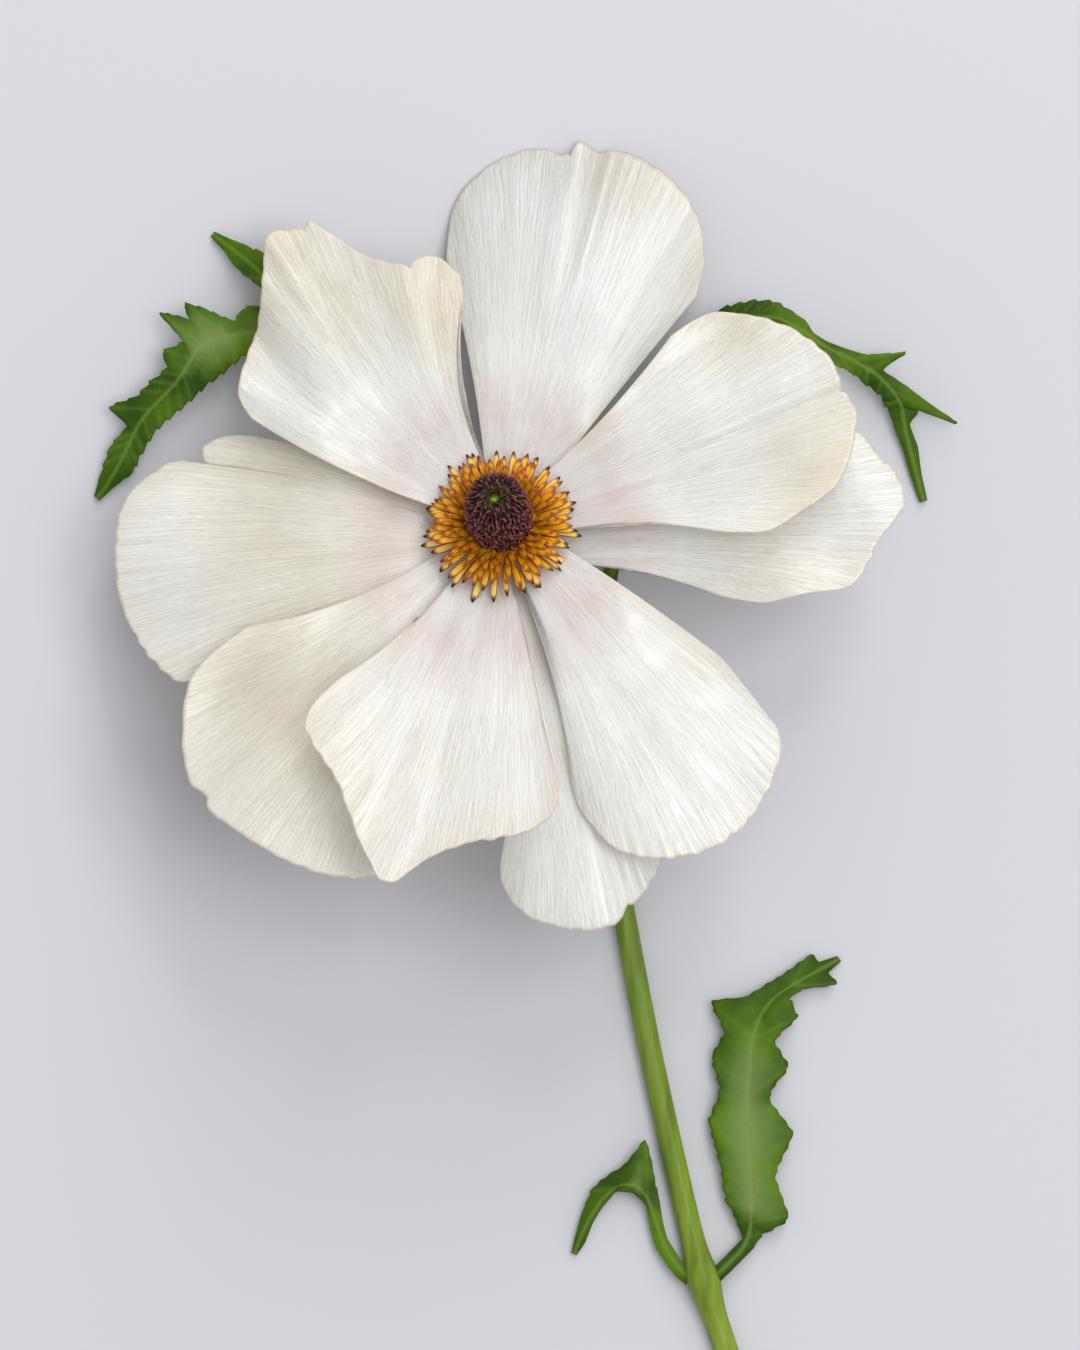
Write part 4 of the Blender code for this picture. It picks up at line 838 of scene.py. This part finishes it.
# Leaves
# Divided stem leaves of soft dark green tissue, with pointed teeth on long narrow stalks. Two spring from
# the upper joint and pass behind the bloom, and two short ones clasp the lower joint.
STALK_HALF_WIDTH, LEAF_THICKNESS = 0.62, 0.34
LEAF_ARCH, LEAF_FOLD = 0.1, 0.55
LEAF_COLUMNS, LEAF_STEPS = 21, 8
TOOTH_PITCH, TOOTH_DEPTH = 1.3, 0.3
CURVE_PULL = 0.55
VEIN_WIDTH = 0.16
LEAF_DARK, LEAF_MID, LEAF_RIB = (0.022, 0.060, 0.001), (0.080, 0.170, 0.003), (0.18, 0.27, 0.04)
# The sheen colour below is a painted sheen; SHEEN_WIDTHS and SHEEN_ENDS give the blade widths where it
# grows and the share of the length where it fades.
LEAF_PAINTED_SHEEN = (0.18, 0.25, 0.075)
SHEEN_WIDTHS, SHEEN_ENDS = (2.0, 5.2), (0.6, 0.95)
LEAVES = {
    # each blade's stalk as points (x, y, height), heights along its middle, and its edges from foot to tip
    # as (left x, left y, right x, right y)
    "leaf_left": [
        dict(stalk=[(7.1, -17.4, 1.3), (5.9, -16.4, 1.3), (-2.5, -8, 0.7), (-10, 5, 0.8),
             (-14.6, 13.6, 1.4)], heights=[1.9, 2.9, 3.1, 2.5, 1.5, 0.33],
            edges=[(-18.5, 17.5, -17.5, 20.6), (-21.5, 17.8, -22, 21.6), (-22.4, 17.5, -24, 21.3),
             (-23.5, 16.9, -24.9, 20.1), (-24.6, 16, -27.2, 21.1), (-25.4, 15.4, -29.4, 21.7),
             (-25.7, 15.1, -29, 20.3), (-26.2, 14.7, -31.7, 20.9), (-26.9, 14.2, -29.1, 18.6),
             (-27.8, 13.4, -31.4, 17.3), (-28.5, 12.7, -30.9, 16), (-29.9, 11.5, -32.6, 14.5),
             (-31, 10.6, -33.9, 13.2), (-32, 9.6, -36.4, 12.2), (-32.6, 8.7, -34.5, 10.6),
             (-33.4, 7.4, -36.2, 8.7), (-33.9, 6.2, -36.9, 6.8), (-35.6, 5.1, -37.4, 4.8),
             (-37.2, 3.6, -37.6, 4)]),
        dict(stalk=[], heights=[2, 2.2, 1.4, 0.35],
            edges=[(-18.9, 18.8, -17.6, 19.8), (-20.6, 21.2, -18.9, 23), (-22.2, 22.9, -21.1, 26),
             (-24.4, 24.6, -23.1, 26.8), (-25.6, 26.4, -25.1, 27.5), (-26.9, 27.8, -26.6, 28.2)]),
    ],
    "leaf_right": [
        dict(stalk=[(8.1, -16.6, 1.3), (9.6, -15.2, 1.3), (9.4, -6, 0.7), (11.6, 4.5, 0.8),
             (16.8, 14.6, 1.4)], heights=[2.2, 3.2, 3.2, 2.4, 1.6, 1, 0.33],
            edges=[(18.3, 20.3, 19.2, 18.4), (20.5, 21.5, 20.8, 19.6), (22.8, 22, 23.5, 19.8),
             (25.1, 21.8, 25.8, 19.8), (27.6, 20, 26.4, 19.1), (28.2, 18.9, 27.1, 18), (29.6, 18, 30.1, 16),
             (33.1, 16.9, 31.9, 15.1), (37, 17.2, 32.5, 14.5), (34.2, 15.9, 33.3, 14),
             (36.5, 14.3, 34.2, 13.3), (41.7, 10.6, 34.6, 12.7), (36.3, 13, 34.9, 12.2),
             (38, 11.9, 35.5, 11.2), (37.1, 10.7, 36.1, 9.6), (37.9, 8.5, 36.7, 8.1), (38.2, 6.2, 37.3, 6),
             (38.8, 3.6, 38.2, 3.4)]),
    ],
    "leaf_lower_right": [
        dict(stalk=[(18.8, -68.1, 1.4), (20, -67, 1.4), (22.4, -64.6, 1.1)],
            heights=[1, 1.5, 1.2, 1.4, 0.8, 0.35],
            edges=[(21.6, -63.4, 23.8, -63.9), (20.2, -60.6, 26.2, -62.4), (19.6, -57, 25, -58.4),
             (18.6, -53.4, 26.6, -54.6), (19.6, -50.6, 24.4, -51.2), (18.9, -47.6, 26.2, -48.4),
             (20, -45.2, 25, -46), (18.9, -42.4, 27, -43.8), (21.9, -42, 26.4, -42.2),
             (24.6, -40.4, 27.6, -41.3), (28, -38, 30.6, -40.9), (28.7, -38.9, 29.6, -39.9),
             (30.6, -38.3, 30.9, -38.7)]),
    ],
    "leaf_lower_left": [
        dict(stalk=[(17.1, -67.9, 1.3), (15.9, -66.8, 1.3), (14.4, -64.6, 1)], heights=[1, 1.4, 1, 0.35],
            edges=[(13.4, -63, 14.5, -62.6), (13.1, -61.3, 14, -59.5), (11.8, -59.9, 13, -55),
             (10.2, -59.9, 11.4, -57), (8.9, -61.3, 8.2, -59.3), (8.1, -62.6, 7.2, -61.7),
             (7.4, -64.5, 6.5, -64.2), (6.6, -65.7, 6.2, -65.5)]),
    ],
}


def curved_through(points):
    """Points on a curve through every given point, with the same number of steps between any two."""
    p = np.array(points, float)
    slope = np.gradient(p, axis=0) * CURVE_PULL
    u = np.linspace(0, 1, LEAF_STEPS, endpoint=False)[:, None]
    runs = []
    for a, b, da, db in zip(p[:-1], p[1:], slope[:-1], slope[1:]):
        runs.append((2 * u**3 - 3 * u**2 + 1) * a + (u**3 - 2 * u**2 + u) * da
                    + (3 * u**2 - 2 * u**3) * b + (u**3 - u**2) * db)
    return np.vstack([*runs, p[-1:]])


def leaf_blade(name, blade):
    """The mesh of one leaf blade with its stalk, folded a little along its midrib."""
    edges = np.array(blade["edges"], float)
    lefts, rights = edges[:, :2], edges[:, 2:]
    steps = np.linspace(0, len(blade["heights"]) - 1, len(edges))
    heights = np.interp(steps, np.arange(len(blade["heights"])), blade["heights"])
    if blade["stalk"]:
        stalk = smooth_line(blade["stalk"], 3 * len(blade["stalk"]))
        side = left_of(np.gradient(stalk[:, :2], axis=0)) * STALK_HALF_WIDTH
        lefts, rights = np.vstack([stalk[:, :2] + side, lefts]), np.vstack([stalk[:, :2] - side, rights])
        heights = np.concatenate([stalk[:, 2], heights])
    middles = (lefts + rights) / 2
    for _ in range(3):
        middles[1:-1] = (middles[:-2] + 2 * middles[1:-1] + middles[2:]) / 4
    left, right, middle = curved_through(lefts), curved_through(rights), curved_through(middles)
    for edge in (left, right):
        inward = middle - edge
        reach = np.linalg.norm(inward, axis=1)[:, None]
        tooth = 1 - lengths_along(edge)[:, None] / TOOTH_PITCH % 1
        edge += inward / reach * TOOTH_DEPTH * tooth * ease(reach, 0.8, 1.6)
    across = np.linspace(-1, 1, LEAF_COLUMNS)
    outer = np.where(across[None, :, None] < 0, left[:, None], right[:, None])
    plan = middle[:, None] + (outer - middle[:, None]) * np.abs(across)[None, :, None]
    width = np.linalg.norm(right - left, axis=1)[:, None]
    fall = LEAF_ARCH * width * across**2 - LEAF_FOLD * np.abs(across) * ease(width, 1.6, 4.0)
    height = curved_through(heights[:, None]) - fall
    half = LEAF_THICKNESS / 2
    height = half + PRESS_SOFTNESS * np.logaddexp(0, (height - half) / PRESS_SOFTNESS)
    vein = np.zeros_like(height)
    for edge, side in ((left, across < 0), (right, across > 0)):
        reach = np.linalg.norm(edge - middle, axis=1)
        for tip in range(2, len(reach) - 2):
            if reach[tip] < reach[tip - 2:tip + 3].max() or reach[tip] <= 1.2:
                continue
            start = middle[max(tip - LEAF_STEPS, 0)]
            run = edge[tip] - start
            along = np.clip((plan - start) @ run / (run @ run), 0, 1)[..., None]
            away = np.linalg.norm(plan - start - along * run, axis=2)
            vein = np.maximum(vein, np.exp(-((away / VEIN_WIDTH) ** 2)) * side)
    rib = np.linalg.norm(plan - middle[:, None], axis=2)
    # Painted sheen along the middle of the broad blades, fading towards the tips, where the value turns
    # negative and makes the blade darker.
    towards_tip = ease(np.linspace(0, 1, len(middle))[:, None], *SHEEN_ENDS)
    painted_sheen_and_dark_tips = (1 - np.abs(across)) * ease(width, *SHEEN_WIDTHS) * (1 - towards_tip) - towards_tip
    points = np.dstack([plan, height]) + PLANT_SHIFT
    return blade_mesh(name, points, LEAF_THICKNESS, {"rib": rib, "vein": vein, "painted_sheen_and_dark_tips": painted_sheen_and_dark_tips})


leaf_finish, tree, shader = new_finish(
    "leaf green", Roughness=0.5, Subsurface_Weight=0.08, Subsurface_Scale=0.0006, Specular_IOR_Level=0.12)
patches = grain(tree, 180, detail=4.0)
cells = grain(tree, 1400, detail=2.0)
painted_sheen_and_dark_tips = stored(tree, "painted_sheen_and_dark_tips")
green = ramp(patches, (0.38, *LEAF_DARK), (0.62, *LEAF_MID))
# Painted sheen: a pale grey-green laid along the middle of the blades; the next line makes them darker
# towards their tips.
green = mixed(ramp(painted_sheen_and_dark_tips, (0.1, 0), (0.9, 0.75)), green, LEAF_PAINTED_SHEEN)
green = mixed(times(painted_sheen_and_dark_tips, -0.65), green, LEAF_DARK)
green = mixed(times(stored(tree, "vein"), 0.2), green, LEAF_RIB)
feed(mixed(ramp(stored(tree, "rib"), (0.0, 0.5), (0.3, 0)), green, LEAF_RIB), shader.inputs["Base Color"])
bump(shader, plus(cells, patches), 0.00012)

for name, blades in LEAVES.items():
    mesh = joined(name, [leaf_blade(f"{name}_{k}", blade) for k, blade in enumerate(blades)])
    finished(name + "_blade", mesh, [name], leaf_finish)

# Stage
# A pale matte floor under soft studio light, with the camera straight above, looking down the way the
# photograph looks at the bloom. The lights stand in metres from the bloom and are aimed at it.
PIXELS_PER_MM = 11.0
PICTURE = (1080, 1350)
BLOOM_PIXEL = (504, 538)
CAMERA_DISTANCE = 1200.0
SENSOR, NEAREST_SEEN = 36.0, 0.01
FLOOR_HALF, FLOOR_DROP = 1.5, 0.00005
FLOOR_COLOUR = (0.558, 0.564, 0.607)
LIGHTS = [
    ("overhead light", (0.45, 0.1, 1.5), 0.9, 12.2, (1.0, 0.995, 0.98)),
    ("glint light", (0.22, 0.72, 1.1), 0.24, 1.7, (1.0, 1.0, 1.0)),
    ("window light", (0.20, 0.82, 0.55), 0.5, 3.0, (1.0, 0.985, 0.96)),
]
SKY_COLOUR, SKY_STRENGTH = (1.0, 1.0, 1.0), 0.60

floor_mesh = bpy.data.meshes.new("floor")
floor_corners = [(x * FLOOR_HALF, y * FLOOR_HALF, 0) for x, y in ((-1, -1), (1, -1), (1, 1), (-1, 1))]
floor_mesh.from_pydata(floor_corners, [], [(0, 1, 2, 3)])
floor_mesh.materials.append(new_finish("pale floor", Roughness=0.9, Base_Color=FLOOR_COLOUR)[0])
floor = new_object("floor", floor_mesh)
floor.location.z = -FLOOR_DROP

bloom = Vector((*PLANT_SHIFT[:2], BLOOM_HEIGHT)) * MM
for name, offset, size, power, colour in LIGHTS:
    lamp = bpy.data.lights.new(name, "AREA")
    lamp.shape = "SQUARE"
    lamp.size = size
    lamp.energy = power
    lamp.color = colour
    light = new_object(name, lamp)
    light.location = bloom + Vector(offset)
    light.rotation_euler = (-Vector(offset)).to_track_quat("-Z", "Y").to_euler()
world = bpy.data.worlds.new("studio")
world.use_nodes = True
background = world.node_tree.nodes["Background"]
feed(SKY_COLOUR, background.inputs["Color"])
feed(SKY_STRENGTH, background.inputs["Strength"])
bpy.context.scene.world = world

lens = bpy.data.cameras.new("camera")
lens.sensor_width = SENSOR
lens.lens = SENSOR * CAMERA_DISTANCE / (PICTURE[1] / PIXELS_PER_MM)
lens.clip_start = NEAREST_SEEN
camera = new_object("camera", lens)
aim = (np.array(PICTURE) / 2 - BLOOM_PIXEL) / PIXELS_PER_MM * (1, -1) + PLANT_SHIFT[:2]
camera.location = Vector((*aim, CAMERA_DISTANCE + BLOOM_HEIGHT)) * MM
bpy.context.scene.camera = camera
bpy.context.scene.view_settings.view_transform = "Standard"
